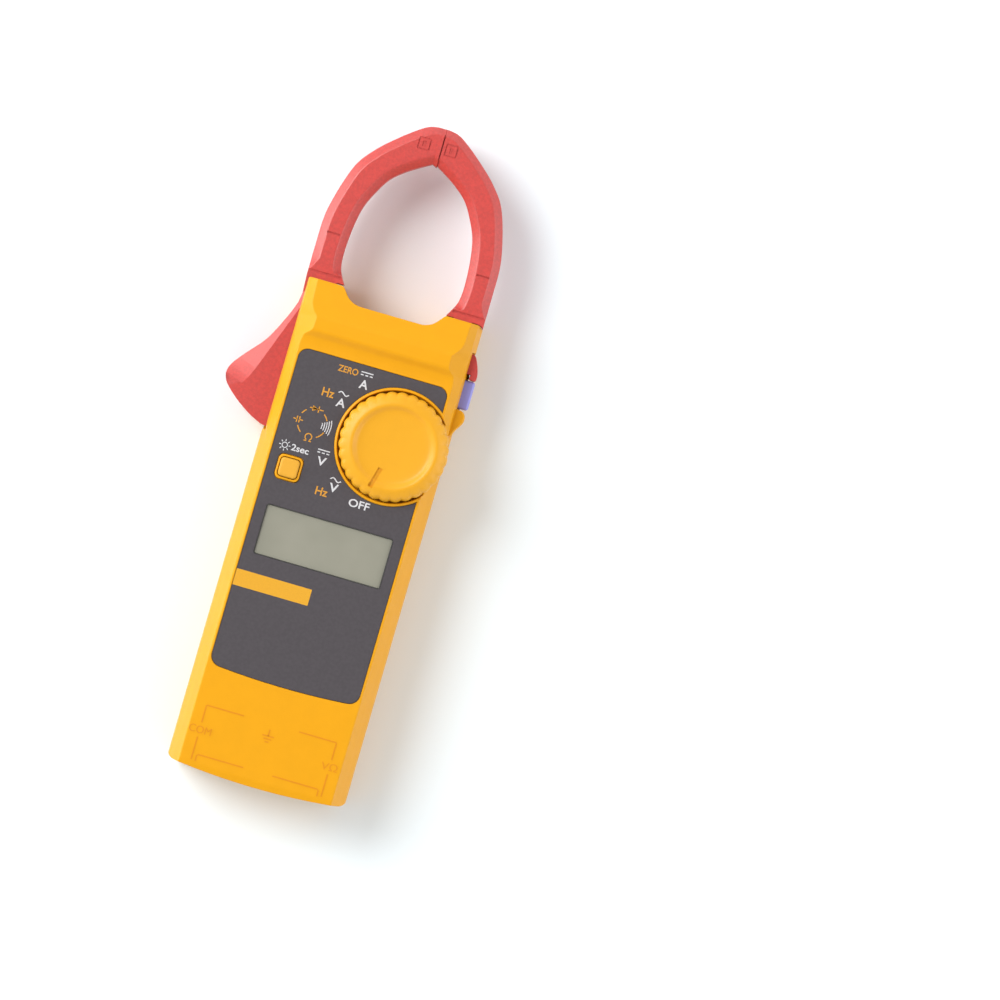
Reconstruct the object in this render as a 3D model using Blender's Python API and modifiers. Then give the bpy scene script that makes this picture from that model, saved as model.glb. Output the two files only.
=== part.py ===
"""Pocket clamp meter, lying on its back.

Frame: origin at the middle of the back face, +Y towards the jaw tip, +X to the right seen from
the front, +Z out of the front face.  Every length below is in millimetres; MM turns it into metres.
"""
from math import atan2, ceil, cos, pi, radians, sin, tan

import bmesh
import bpy
from mathutils import Matrix, Vector

MM = 0.001
WELD = 0.00001

# Case
HALF_WIDTH = 27.6
WALL = 2.2
REAR_WALL = 2.4
SHOULDER_Y = 75.7
THROAT_Y = 71.15
BOTTOM_CORNER_Y = -73.9
BOTTOM_BOW = 1.8
PARTING_Z = 15.5
SEAM = 0.15
FACE_Z = 29.5
FACE_HALF_WIDTH = 23.7
FIT = 0.35

# Front panel
LABEL_HALF_WIDTH = 23.0
LABEL_TOP = 54.8
LABEL_BOTTOM = -43.4
LABEL_Z = (28.9, 29.4)
WINDOW = (-19.7, 19.7, -8.4, 7.2)
BUTTON_CENTRE = (-16.4, 19.0)
BUTTON_SIZE = 5.8
BEZEL_SIZE = 7.5
HOLD_KEY = (24.0, 54.6, 17.5)

# Rotary switch
DIAL = (11.9, 33.7)
KNOB_RADIUS = 16.3
KNOB_LOBES = 30
KNOB_Z = (27.8, 34.0)
RING_RADII = (16.9, 17.5)
OFF_ANGLE = -105.0
DETENT_STEP = 25.0
DETENT_COUNT = 6
STEM_RADIUS = 4.0

# Jaws
JAW_Z = (7.0, 22.0)
JAW_SEAM_Z = 14.5
JAW_CHAMFER = 2.4
JAW_BASE_Y = 76.1
SPLIT_X = 0.8
PIVOT = (-20.0, 62.0)
HUB_RADIUS = 9.0
CORE_WIDTH = 4.8
CORE_Z = (9.4, 19.6)
CORE_SETBACK = 0.45
JAW_SLOT_Z = (6.6, 22.4)

# Board and input side
BOARD_Z = (19.0, 20.6)
SOCKET_X = 20.2
SOCKET_Z = 15.5
CELL_X = 5.7
CELL_RADIUS = 5.25
CELL_Y = (-60.2, -15.7)
CELL_Z = 8.2
CASE_SCREWS = ((-19.5, -45.0), (19.5, -45.0), (-4.0, 53.5), (12.5, 53.5))
COVER_SCREW = (0.0, -11.4)
SCREW_SLOT = 0.35
FIXED_JAW_SCREWS = ((-5.0, 60.1), (14.0, 60.1))
MOVING_JAW_SCREWS = ((-35.0, 42.5), (-26.5, 50.0))

# Colour, roughness and metallic value of each material
MATERIALS = {
    "yellow_plastic": ((0.93, 0.43, 0.012), 0.45, 0.0),
    "red_plastic": ((0.68, 0.035, 0.025), 0.5, 0.0),
    "grey_label": ((0.10, 0.09, 0.10), 0.5, 0.0),
    "clear_window": ((0.75, 0.78, 0.74), 0.08, 0.0),
    "display_glass": ((0.36, 0.37, 0.29), 0.2, 0.0),
    "violet_plastic": ((0.26, 0.26, 0.57), 0.45, 0.0),
    "orange_rubber": ((0.95, 0.46, 0.04), 0.55, 0.0),
    "black_plastic": ((0.02, 0.02, 0.02), 0.5, 0.0),
    "white_plastic": ((0.80, 0.80, 0.78), 0.45, 0.0),
    "board_green": ((0.02, 0.16, 0.06), 0.4, 0.0),
    "ferrite": ((0.05, 0.05, 0.055), 0.6, 0.2),
    "steel": ((0.62, 0.62, 0.64), 0.3, 1.0),
    "brass": ((0.78, 0.58, 0.24), 0.3, 1.0),
    "silicone": ((0.55, 0.30, 0.28), 0.6, 0.0),
    "blue_ceramic": ((0.05, 0.16, 0.5), 0.4, 0.0),
    "cell_jacket": ((0.08, 0.08, 0.09), 0.35, 0.3),
}


# ---------------------------------------------------------------- scene and materials

def clear_scene():
    for obj in list(bpy.data.objects):
        bpy.data.objects.remove(obj, do_unlink=True)


def new_collection(name):
    collection = bpy.data.collections.new(name)
    bpy.context.scene.collection.children.link(collection)
    return collection


def make_material(name):
    colour, roughness, metallic = MATERIALS[name]
    material = bpy.data.materials.new(name)
    material.use_nodes = True
    shader = material.node_tree.nodes["Principled BSDF"]
    shader.inputs["Base Color"].default_value = (*colour, 1.0)
    shader.inputs["Roughness"].default_value = roughness
    shader.inputs["Metallic"].default_value = metallic
    return material


def place(obj, collection):
    for old in list(obj.users_collection):
        old.objects.unlink(obj)
    collection.objects.link(obj)


def finish(obj, material, smooth=False):
    """Give a sub-part its own material and put it in the part's collection."""
    place(obj, PARTS)
    obj.data.materials.clear()
    obj.data.materials.append(make_material(material))
    if smooth:
        obj.data.shade_smooth()
        obj.data.set_sharp_from_angle(angle=radians(35))
    return obj


def as_cutter(obj):
    place(obj, CUTTERS)
    obj.hide_render = True
    obj.display_type = "WIRE"
    return obj


# ---------------------------------------------------------------- outlines

def rounded(corners, step=22.0):
    """Turn each (x, y, radius) corner of a closed outline into an arc."""
    outline = []
    count = len(corners)
    for i, (x, y, radius) in enumerate(corners):
        here = Vector((x, y))
        if radius == 0:
            outline.append((x, y))
            continue
        back = (Vector(corners[i - 1][:2]) - here).normalized()
        ahead = (Vector(corners[(i + 1) % count][:2]) - here).normalized()
        half = back.angle(ahead) / 2
        centre = here + (back + ahead).normalized() * radius / sin(half)
        start = here + back * radius / tan(half) - centre
        end = here + ahead * radius / tan(half) - centre
        first = atan2(start.y, start.x)
        sweep = (atan2(end.y, end.x) - first + pi) % (2 * pi) - pi
        steps = max(1, ceil(abs(sweep) / radians(step)))
        for k in range(steps + 1):
            angle = first + sweep * k / steps
            outline.append((centre.x + radius * cos(angle), centre.y + radius * sin(angle)))
    return outline


def rectangle(left, right, bottom, top, radius=0.0):
    return rounded([(left, bottom, radius), (right, bottom, radius),
                    (right, top, radius), (left, top, radius)])


def arc(centre, radius, first, last, steps):
    points = []
    for k in range(steps + 1):
        angle = radians(first + (last - first) * k / steps)
        points.append((centre[0] + radius * cos(angle), centre[1] + radius * sin(angle)))
    return points


def smooth_through(points, per_span):
    """Catmull-Rom curve through the points, ends included."""
    padded = [points[0]] + list(points) + [points[-1]]
    curve = []
    for a, b, c, d in zip(padded, padded[1:], padded[2:], padded[3:]):
        for k in range(per_span):
            t = k / per_span
            curve.append(tuple(
                0.5 * (2 * q + (r - p) * t + (2 * p - 5 * q + 4 * r - s) * t ** 2
                       + (3 * q - p - 3 * r + s) * t ** 3)
                for p, q, r, s in zip(a, b, c, d)))
    curve.append(tuple(points[-1]))
    return curve


def mirrored(points):
    """Mirror an outline that runs up the right side into one that runs down the left."""
    return [(-x, y) for x, y in reversed(points)]


def band(path, width):
    """Closed outline of a strip of the given width along a path."""
    left = []
    right = []
    for i, point in enumerate(path):
        before = Vector(path[max(i - 1, 0)])
        after = Vector(path[min(i + 1, len(path) - 1)])
        along = (after - before).normalized()
        side = Vector((-along.y, along.x)) * width / 2
        left.append(tuple(Vector(point) + side))
        right.append(tuple(Vector(point) - side))
    return left + right[::-1]


def bottom_edge(x, inset=0.0):
    """Y of the bowed bottom edge of the case at x."""
    return BOTTOM_CORNER_Y - BOTTOM_BOW * (1 - (x / HALF_WIDTH) ** 2) + inset


def case_outline():
    bow = [(x, bottom_edge(x), 0.0) for x in (-20.0, -13.0, -5.0, 5.0, 13.0, 20.0)]
    return rounded(
        [(-HALF_WIDTH, BOTTOM_CORNER_Y, 2.0)] + bow + [(HALF_WIDTH, BOTTOM_CORNER_Y, 2.0)]
        + [(HALF_WIDTH, SHOULDER_Y, 1.6), (15.9, SHOULDER_Y, 0.0), (12.3, THROAT_Y, 3.0)]
        + [(-12.3, THROAT_Y, 3.0), (-15.9, SHOULDER_Y, 0.0), (-HALF_WIDTH, SHOULDER_Y, 1.6)])


def cavity_outline():
    side = HALF_WIDTH - WALL
    top = SHOULDER_Y - WALL
    throat = THROAT_Y - WALL
    bottom = BOTTOM_CORNER_Y + 1.3
    return [(-side, bottom), (side, bottom), (side, top), (17.0, top), (13.3, throat),
            (-13.3, throat), (-17.0, top), (-side, top)]


# ---------------------------------------------------------------- solids

def to_mesh(guide):
    """Swap a curve object for a welded mesh object of the same shape."""
    bpy.context.view_layer.update()
    graph = bpy.context.evaluated_depsgraph_get()
    mesh = bpy.data.meshes.new_from_object(guide.evaluated_get(graph))
    work = bmesh.new()
    work.from_mesh(mesh)
    bmesh.ops.remove_doubles(work, verts=work.verts, dist=WELD)
    bmesh.ops.dissolve_limit(work, angle_limit=radians(0.5), verts=work.verts, edges=work.edges)
    bmesh.ops.recalc_face_normals(work, faces=work.faces)
    work.to_mesh(mesh)
    work.free()
    solid = bpy.data.objects.new(guide.name.replace("_guide", ""), mesh)
    PARTS.objects.link(solid)
    solid.matrix_world = guide.matrix_world.copy()
    bpy.data.objects.remove(guide, do_unlink=True)
    return solid


def outline_solid(name, points, low, high, along="Z"):
    """Extrude a closed outline from low to high along Z, or an (x, z) outline along Y."""
    curve = bpy.data.curves.new(name + "_guide", "CURVE")
    curve.dimensions = "2D"
    curve.fill_mode = "BOTH"
    curve.extrude = (high - low) / 2 * MM
    spline = curve.splines.new("POLY")
    spline.points.add(len(points) - 1)
    for knot, (x, y) in zip(spline.points, points):
        knot.co = (x * MM, y * MM, 0.0, 1.0)
    spline.use_cyclic_u = True
    guide = bpy.data.objects.new(name + "_guide", curve)
    PARTS.objects.link(guide)
    middle = (low + high) / 2 * MM
    if along == "Z":
        guide.location = (0.0, 0.0, middle)
    else:
        guide.rotation_euler = (pi / 2, 0.0, 0.0)
        guide.location = (0.0, middle, 0.0)
    return to_mesh(guide)


def box(name, x, y, z):
    """Box between the two limits of each axis."""
    bpy.ops.mesh.primitive_cube_add(size=1.0)
    obj = bpy.context.object
    obj.name = name
    limits = (x, y, z)
    obj.data.transform(Matrix.Diagonal([(high - low) * MM for low, high in limits]).to_4x4())
    obj.location = [(high + low) / 2 * MM for low, high in limits]
    return obj


def cylinder(name, centre, radius, low, high, along="Z", sides=24):
    """Cylinder from low to high along Z at (x, y), or along Y at (x, z)."""
    middle = (low + high) / 2 * MM
    if along == "Z":
        location = (centre[0] * MM, centre[1] * MM, middle)
        turn = (0.0, 0.0, 0.0)
    else:
        location = (centre[0] * MM, middle, centre[1] * MM)
        turn = (pi / 2, 0.0, 0.0)
    bpy.ops.mesh.primitive_cylinder_add(
        vertices=sides, radius=radius * MM, depth=(high - low) * MM, location=location, rotation=turn)
    obj = bpy.context.object
    obj.name = name
    return obj


def turned(name, profile, centre, along="Z", steps=32):
    """Turn an (r, h) profile, listed from the top down its outer side, about Z or Y."""
    mesh = bpy.data.meshes.new(name)
    work = bmesh.new()
    knots = [work.verts.new((r * MM, 0.0, h * MM)) for r, h in profile]
    pairs = list(zip(knots, knots[1:]))
    if profile[0][0] > 0:
        pairs.append((knots[-1], knots[0]))
    for a, b in pairs:
        work.edges.new((a, b))
    work.to_mesh(mesh)
    work.free()
    obj = bpy.data.objects.new(name, mesh)
    PARTS.objects.link(obj)
    if along == "Z":
        obj.location = (centre[0] * MM, centre[1] * MM, 0.0)
    else:
        obj.location = (centre[0] * MM, 0.0, centre[1] * MM)
        obj.rotation_euler = (-pi / 2, 0.0, 0.0)
    screw = obj.modifiers.new("Turn", "SCREW")
    screw.axis = "Z"
    screw.angle = 2 * pi
    screw.steps = steps
    screw.render_steps = steps
    screw.use_merge_vertices = True
    screw.merge_threshold = 0.00001
    return obj


def wire(name, path, radius, sides=2):
    """Round wire along a path of (x, y, z) points, with closed ends."""
    curve = bpy.data.curves.new(name, "CURVE")
    curve.dimensions = "3D"
    curve.bevel_depth = radius * MM
    curve.bevel_resolution = sides
    curve.use_fill_caps = True
    spline = curve.splines.new("POLY")
    spline.points.add(len(path) - 1)
    for knot, (x, y, z) in zip(spline.points, path):
        knot.co = (x * MM, y * MM, z * MM, 1.0)
    obj = bpy.data.objects.new(name, curve)
    PARTS.objects.link(obj)
    return obj


def loft(name, rings):
    """Closed skin through rings of matching (x, y, z) points."""
    mesh = bpy.data.meshes.new(name)
    work = bmesh.new()
    rows = [[work.verts.new((x * MM, y * MM, z * MM)) for x, y, z in ring] for ring in rings]
    for lower, upper in zip(rows, rows[1:]):
        for k in range(len(lower)):
            n = (k + 1) % len(lower)
            work.faces.new((lower[k], lower[n], upper[n], upper[k]))
    work.faces.new(rows[0][::-1])
    work.faces.new(rows[-1])
    bmesh.ops.triangulate(work, faces=work.faces)
    bmesh.ops.recalc_face_normals(work, faces=work.faces)
    work.to_mesh(mesh)
    work.free()
    obj = bpy.data.objects.new(name, mesh)
    PARTS.objects.link(obj)
    return obj


def half_space(name, point, normal, length, reach=30.0):
    """Cutter slab whose lower face passes through the point, facing the normal."""
    obj = box(name, (-length / 2, length / 2), (-length / 2, length / 2), (0.0, reach))
    way = Vector(normal).normalized()
    obj.rotation_mode = "QUATERNION"
    obj.rotation_quaternion = Vector((0, 0, 1)).rotation_difference(way)
    obj.location = Vector(point) * MM + way * reach / 2 * MM
    return as_cutter(obj)


def chamfer_rims(obj, width, top=True, bottom=True, above=-200.0):
    """Bevel the rims of the end faces of an extruded outline, where y is above the limit."""
    work = bmesh.new()
    work.from_mesh(obj.data)
    weight = work.edges.layers.float.new("bevel_weight_edge")
    heights = [vert.co.z for vert in work.verts]
    ends = []
    if top:
        ends.append(max(heights))
    if bottom:
        ends.append(min(heights))
    for edge in work.edges:
        on_rim = any(all(abs(vert.co.z - end) < WELD for vert in edge.verts) for end in ends)
        if on_rim and min(vert.co.y for vert in edge.verts) > above * MM:
            edge[weight] = 1.0
    work.to_mesh(obj.data)
    work.free()
    bevel = obj.modifiers.new("Chamfer", "BEVEL")
    bevel.limit_method = "WEIGHT"
    bevel.width = width * MM
    bevel.segments = 1
    bevel.use_clamp_overlap = False
    return obj


def combine(obj, other, operation):
    boolean = obj.modifiers.new(operation.title(), "BOOLEAN")
    boolean.operation = operation
    boolean.solver = "EXACT"
    boolean.object = as_cutter(other)
    return obj


def cut(obj, *cutters):
    for cutter in cutters:
        combine(obj, cutter, "DIFFERENCE")
    return obj


def join(obj, *others):
    for other in others:
        combine(obj, other, "UNION")
    return obj


# ---------------------------------------------------------------- case shells

def face_sections():
    """(y, crease x, crease z, face half width, face z) along the front shell."""
    low = (25.6, 24.0)
    high = (26.2, 25.4)
    return [
        (-78.0, *low, FACE_HALF_WIDTH, FACE_Z - 1.2),
        (-73.6, *low, FACE_HALF_WIDTH, FACE_Z),
        (24.0, *low, FACE_HALF_WIDTH, FACE_Z),
        (31.0, *high, FACE_HALF_WIDTH, FACE_Z),
        (55.5, *high, FACE_HALF_WIDTH, FACE_Z),
        (58.6, *high, 23.5, FACE_Z + 0.6),
        (60.1, *high, 22.6, FACE_Z + 1.3),
        (60.9, *high, 21.2, FACE_Z + 1.9),
        (64.6, *high, 21.0, FACE_Z + 1.9),
        (66.6, *high, 22.6, FACE_Z + 1.1),
        (69.0, *high, 23.6, FACE_Z + 0.3),
        (78.0, *high, 24.0, FACE_Z - 1.6),
    ]


def section_ring(y, crease_x, crease_z, face_x, face_z, inset, base_z):
    """Ring of the front shell at one y, moved inwards by inset."""
    half = [
        (HALF_WIDTH - inset, base_z),
        (HALF_WIDTH - inset - 0.3, 18.5),
        (crease_x - inset, crease_z - inset * 0.3),
        (face_x + 0.55 - inset * 0.7, face_z - 0.6 - inset * 0.9),
        (face_x - 0.7 - inset * 0.5, face_z - inset),
    ]
    return [(x, y, z) for x, z in half] + [(-x, y, z) for x, z in reversed(half)]


def front_loft(name, inset, base_z):
    return loft(name, [section_ring(*section, inset, base_z) for section in face_sections()])


def case_cavity(name, inner_loft, keep):
    """Hollow of one shell: its inner section held inside the cavity outline."""
    combine(inner_loft, outline_solid(name + "_plan", cavity_outline(), -5.0, 45.0), "INTERSECT")
    return cut(inner_loft, *keep)


def side_openings(tag):
    """Openings of the case for both jaws, the trigger, the side bump, the hold key and the sockets."""
    _, key_y, key_z = HOLD_KEY
    return [
        box("left_shoulder_" + tag, (-31.0, -17.7), (72.0, 80.0), JAW_SLOT_Z),
        box("right_shoulder_" + tag, (17.7, 24.6), (72.0, 80.0), JAW_SLOT_Z),
        box("trigger_slot_" + tag, (-31.0, -22.0), (28.2, 80.0), JAW_SLOT_Z),
        box("bump_slot_" + tag, (23.0, 31.0), (60.4, 67.4), JAW_SLOT_Z),
        box("hold_slot_" + tag, (23.0, 31.0), (key_y - 4.75, key_y + 4.75),
            (key_z - 4.05, key_z + 4.05)),
        cylinder("com_hole_" + tag, (-SOCKET_X, SOCKET_Z), 4.1, -80.0, -70.0, "Y"),
        cylinder("volt_hole_" + tag, (SOCKET_X, SOCKET_Z), 4.1, -80.0, -70.0, "Y"),
    ]


def guard(tag, low, high):
    """Thumb guard that stands out of the right flank below the hold button."""
    points = smooth_through([(28.0, 56.0), (28.3, 52.5), (28.9, 50.4), (29.6, 49.2)], 2)
    points += [(29.85, 47.6), (29.7, 46.4), (28.5, 44.7), (27.9, 43.0), (26.5, 42.0), (26.5, 57.0)]
    return outline_solid("guard_" + tag, points[::-1], low, high)


def label_outline(grow):
    half = LABEL_HALF_WIDTH + grow
    bow = [(x, LABEL_BOTTOM - 1.1 * (1 - (x / half) ** 2) - grow, 0.0) for x in (-12.0, 0.0, 12.0)]
    return rounded([(-half, LABEL_BOTTOM - grow, 3.4)] + bow + [(half, LABEL_BOTTOM - grow, 3.4)]
                   + [(half, LABEL_TOP + grow, 3.0), (-half, LABEL_TOP + grow, 3.0)])


def square(centre, size, radius):
    half = size / 2
    return rectangle(centre[0] - half, centre[0] + half, centre[1] - half, centre[1] + half, radius)


def front_shell():
    shell = front_loft("front_shell", 0.0, PARTING_Z + SEAM)
    combine(shell, outline_solid("front_plan", case_outline(), 0.0, 45.0), "INTERSECT")
    join(shell, guard("front", PARTING_Z + SEAM, 23.0))
    knob_floor = cylinder("knob_floor", DIAL, 18.6, 25.4, 45.0, sides=48)
    pivot_boss = cylinder("front_pivot_boss", PIVOT, 3.4, 22.6, 45.0, sides=20)
    hollow = case_cavity("front_hollow", front_loft("front_hollow", WALL, PARTING_Z - 3.0),
                         [knob_floor, pivot_boss])
    cut(shell, hollow)
    cut(shell, outline_solid("label_recess", label_outline(0.3), LABEL_Z[0] - 0.3, 40.0))
    inner, outer = RING_RADII
    ring = turned("dial_ring", [(inner + 0.1, FACE_Z + 0.6), (outer, FACE_Z + 0.4),
                                (outer, 26.0), (inner + 0.1, 26.0)], DIAL, steps=48)
    cut(ring, box("ring_end", (24.0, 40.0), (0.0, 60.0), (20.0, 40.0)))
    join(shell, ring, outline_solid("button_bezel", square(BUTTON_CENTRE, BEZEL_SIZE, 1.6),
                                    27.0, FACE_Z + 0.3))
    cut(shell, cylinder("knob_pocket", DIAL, RING_RADII[0], KNOB_Z[0] - 0.4, 45.0, sides=48))
    cut(shell, cylinder("stem_hole", DIAL, STEM_RADIUS + FIT, 20.0, 40.0, sides=32))
    left, right, bottom, top = WINDOW
    cut(shell, outline_solid("window_hole", rectangle(left - FIT, right + FIT, bottom - FIT,
                                                      top + FIT, 0.8), 20.0, 40.0))
    cut(shell, outline_solid("button_hole", square(BUTTON_CENTRE, BUTTON_SIZE + 0.7, 1.3),
                             20.0, 40.0))
    for i, spot in enumerate(CASE_SCREWS):
        join(shell, cylinder(f"front_boss_{i}", spot, 3.2, PARTING_Z + SEAM + 0.4, 28.0, sides=16))
        cut(shell, cylinder(f"front_pilot_{i}", spot, 1.6, 10.0, 25.0, sides=8))
    cut(shell, cylinder("front_pivot_hole", PIVOT, 1.85, 10.0, 26.0, sides=16))
    cut(shell, *side_openings("front"))
    finish(shell, "yellow_plastic")


def rear_section(inset):
    """Cross-section of the rear shell as (x, z), moved inwards by inset."""
    floor = REAR_WALL if inset else 0.0
    top = PARTING_Z - SEAM + (3.0 if inset else 0.0)
    half = [
        (HALF_WIDTH - inset, top),
        (HALF_WIDTH - inset, 7.0),
        (26.9 - inset, 3.6 + floor * 0.5),
        (25.2 - inset, 1.1 + floor * 0.9),
        (23.0 - inset, floor),
    ]
    return half + [(-x, z) for x, z in reversed(half)]


def rear_loft(name, inset):
    return outline_solid(name, rear_section(inset), -78.0, 78.0, "Y")


def rear_shell():
    shell = rear_loft("rear_shell", 0.0)
    combine(shell, outline_solid("rear_plan", case_outline(), -5.0, 45.0), "INTERSECT")
    join(shell, guard("rear", 9.0, PARTING_Z - SEAM))
    compartment = box("battery_walls", (-13.8, 13.8), (-66.4, -12.4), (-1.0, 15.3))
    cut(shell, case_cavity("rear_hollow", rear_loft("rear_hollow", WALL), [compartment]))
    cut(shell, box("battery_hollow", (-12.0, 12.0), (-64.6, -14.2), (-1.0, 14.0)))
    cut(shell, outline_solid("cover_rebate", rectangle(-14.5, 14.5, -66.5, -8.2, 1.5), -1.0, 1.7))
    for i, x in enumerate((-8.0, 8.0)):
        cut(shell, box(f"tongue_slot_{i}", (x - 2.4, x + 2.4), (-68.4, -66.0), (0.7, 2.0)))
    boss_top = PARTING_Z - SEAM - 0.4
    for i, spot in enumerate(CASE_SCREWS):
        join(shell, cylinder(f"rear_boss_{i}", spot, 4.0, 1.0, boss_top, sides=16))
        cut(shell, cylinder(f"rear_clearance_{i}", spot, 1.7, -1.0, 20.0, sides=8))
        cut(shell, cylinder(f"rear_counterbore_{i}", spot, 3.0, -1.0, 8.5, sides=16))
    join(shell, cylinder("cover_boss", COVER_SCREW, 2.8, 2.0, 9.0, sides=20))
    cut(shell, cylinder("cover_pilot", COVER_SCREW, 1.35, -1.0, 8.0, sides=12))
    join(shell, cylinder("rear_pivot_boss", PIVOT, 2.9, 1.5, 6.0, sides=20))
    cut(shell, cylinder("rear_pivot_hole", PIVOT, 1.85, 2.6, 20.0, sides=16))
    cut(shell, *side_openings("rear"))
    finish(shell, "yellow_plastic")


def front_label():
    label = outline_solid("front_label", label_outline(0.0), *LABEL_Z)
    left, right, bottom, top = WINDOW
    cut(label, cylinder("label_dial_hole", DIAL, RING_RADII[1] + FIT, 20.0, 40.0, sides=48))
    cut(label, outline_solid("label_window_hole",
                             rectangle(left - 0.1, right + 0.1, bottom - 0.1, top + 0.1, 0.6),
                             20.0, 40.0))
    cut(label, outline_solid("label_button_hole", square(BUTTON_CENTRE, BEZEL_SIZE + 0.7, 1.9),
                             20.0, 40.0))
    finish(label, "grey_label")


# ---------------------------------------------------------------- display

def display():
    left, right, bottom, top = WINDOW
    window = outline_solid("display_window", rectangle(left, right, bottom, top, 0.5), 27.5, 28.8)
    finish(window, "clear_window")
    frame = box("display_frame", (-22.2, 22.2), (-13.4, 12.2), (20.9, 27.0))
    cut(frame, box("frame_pocket", (-21.4, 21.4), (-12.4, 11.2), (20.0, 26.2)))
    cut(frame, box("frame_mouth", (-19.6, 19.6), (-8.3, 7.1), (20.0, 30.0)))
    finish(frame, "black_plastic")
    finish(box("display_panel", (-21.0, 21.0), (-12.0, 10.8), (23.6, 25.8)), "display_glass")
    finish(box("backlight_panel", (-19.2, 19.2), (-8.4, 7.2), (21.6, 23.2)), "white_plastic")
    for name, y in (("lower_contact_strip", -10.6), ("upper_contact_strip", 9.4)):
        finish(box(name, (-19.5, 19.5), (y - 0.9, y + 0.9), (20.95, 23.25)), "silicone")


# ---------------------------------------------------------------- rotary switch

def lobed_ring(radius, depth, z):
    """Ring of the knob: lobes of the full radius with a narrow notch between neighbours."""
    ring = []
    per_lobe = 4
    for k in range(KNOB_LOBES * per_lobe):
        angle = 2 * pi * k / (KNOB_LOBES * per_lobe)
        r = radius - depth * (1 - abs(cos(angle * KNOB_LOBES / 2)))
        ring.append((r * cos(angle), r * sin(angle), z))
    return ring


def around_dial(radius, angle):
    """Point at a radius from the dial's axis, at an angle from the pointer."""
    angle = radians(OFF_ANGLE + angle)
    return (DIAL[0] + radius * cos(angle), DIAL[1] + radius * sin(angle))


def rotary_knob():
    base, top = KNOB_Z
    knob = loft("rotary_knob", [
        lobed_ring(KNOB_RADIUS - 0.4, 0.9, base),
        lobed_ring(KNOB_RADIUS, 0.9, base + 1.0),
        lobed_ring(KNOB_RADIUS, 0.9, top - 2.0),
        lobed_ring(KNOB_RADIUS - 0.7, 0.7, top - 1.0),
        lobed_ring(14.0, 0.0, top - 0.25),
        lobed_ring(13.2, 0.0, top),
        lobed_ring(12.5, 0.0, top),
        lobed_ring(11.2, 0.0, top - 0.9),
    ])
    knob.location = (DIAL[0] * MM, DIAL[1] * MM, 0.0)
    join(knob, cylinder("stem", DIAL, STEM_RADIUS, 21.6, base + 1.0, sides=32))
    cut(knob, cylinder("stem_bore", DIAL, 1.4, 15.0, 27.0, sides=12))
    x, y = around_dial(10.5, 0.0)
    pointer = box("pointer_groove", (x - 3.1, x + 3.1), (y - 0.5, y + 0.5), (top - 1.5, 40.0))
    pointer.rotation_euler.z = radians(OFF_ANGLE)
    cut(knob, pointer)
    finish(knob, "yellow_plastic")


def switch_rotor():
    """Rotor on the knob's stem, with two sprung balls and three sliding contacts."""
    rotor = turned("switch_rotor", [(4.3, 25.0), (6.2, 25.0), (6.2, 23.7), (8.7, 23.7),
                                    (8.7, 21.5), (4.3, 21.5)], DIAL, steps=40)
    for i, way in enumerate((0.0, 180.0)):
        x, y = around_dial(7.6, way)
        pocket = box(f"ball_pocket_{i}", (x - 2.2, x + 2.2), (y - 1.5, y + 1.5), (20.0, 23.2))
        pocket.rotation_euler.z = radians(OFF_ANGLE)
        cut(rotor, pocket)
    finish(rotor, "white_plastic", smooth=True)
    for i, way in enumerate((0.0, 180.0), start=1):
        x, y = around_dial(8.9, way)
        bpy.ops.mesh.primitive_uv_sphere_add(
            segments=10, ring_count=6, radius=1.15 * MM, location=(x * MM, y * MM, 21.95 * MM))
        ball = bpy.context.object
        ball.name = f"detent_ball_{i}"
        finish(ball, "steel", smooth=True)
        turns = 3
        coil = []
        for k in range(turns * 6 + 1):
            depth = 5.9 + 1.45 * k / (turns * 6)
            angle = 2 * pi * k / 6
            x, y = around_dial(depth, way)
            across = 0.8 * cos(angle)
            side = radians(OFF_ANGLE + way + 90)
            coil.append((x + across * cos(side), y + across * sin(side), 21.95 + 0.8 * sin(angle)))
        finish(wire(f"detent_spring_{i}", coil, 0.18, sides=1), "steel")
    for i, way in enumerate((60.0, 120.0, 240.0), start=1):
        path = []
        for reach, drop in ((5.2, 0.0), (6.4, 0.0), (7.4, 0.25), (8.2, 0.0)):
            path.append((*around_dial(reach, way), 21.15 - drop * 0.4))
        contact = wire(f"wiper_contact_{i}", path, 0.15, sides=1)
        finish(contact, "brass")


def detent_ring():
    """Fixed ring around the rotor with a notch for the balls at each switch position."""
    ring = turned("detent_ring", [(10.4, 23.5), (11.4, 23.5), (11.4, 20.95), (10.4, 20.95)],
                  DIAL, steps=48)
    for k in range(DETENT_COUNT):
        for side in (0.0, 180.0):
            spot = around_dial(9.9, side - DETENT_STEP * k)
            notch = cylinder(f"detent_notch_{k}_{side:.0f}", spot, 1.1, 20.0, 25.0, sides=8)
            cut(ring, notch)
    finish(ring, "white_plastic")


def knob_screw():
    screw("knob_screw", DIAL, (20.3, 21.3), 26.0, 2.3, 1.05)


# ---------------------------------------------------------------- buttons

def backlight_button():
    """Square key with a flange under the shell, over its switch on the board."""
    x, y = BUTTON_CENTRE
    key = outline_solid("backlight_button", square((0, 0), BUTTON_SIZE, 1.0), 25.0, 30.6)
    chamfer_rims(key, 0.5, bottom=False)
    flange = outline_solid("key_flange", square(BUTTON_CENTRE, 8.0, 1.0), 25.0, 26.4)
    key.location.x = x * MM
    key.location.y = y * MM
    join(key, flange)
    finish(key, "orange_rubber")
    switch = box("backlight_switch", (x - 3.0, x + 3.0), (y - 3.0, y + 3.0), (20.95, 23.6))
    join(switch, cylinder("backlight_plunger", BUTTON_CENTRE, 1.7, 23.0, 24.3, sides=16))
    finish(switch, "black_plastic")


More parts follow.
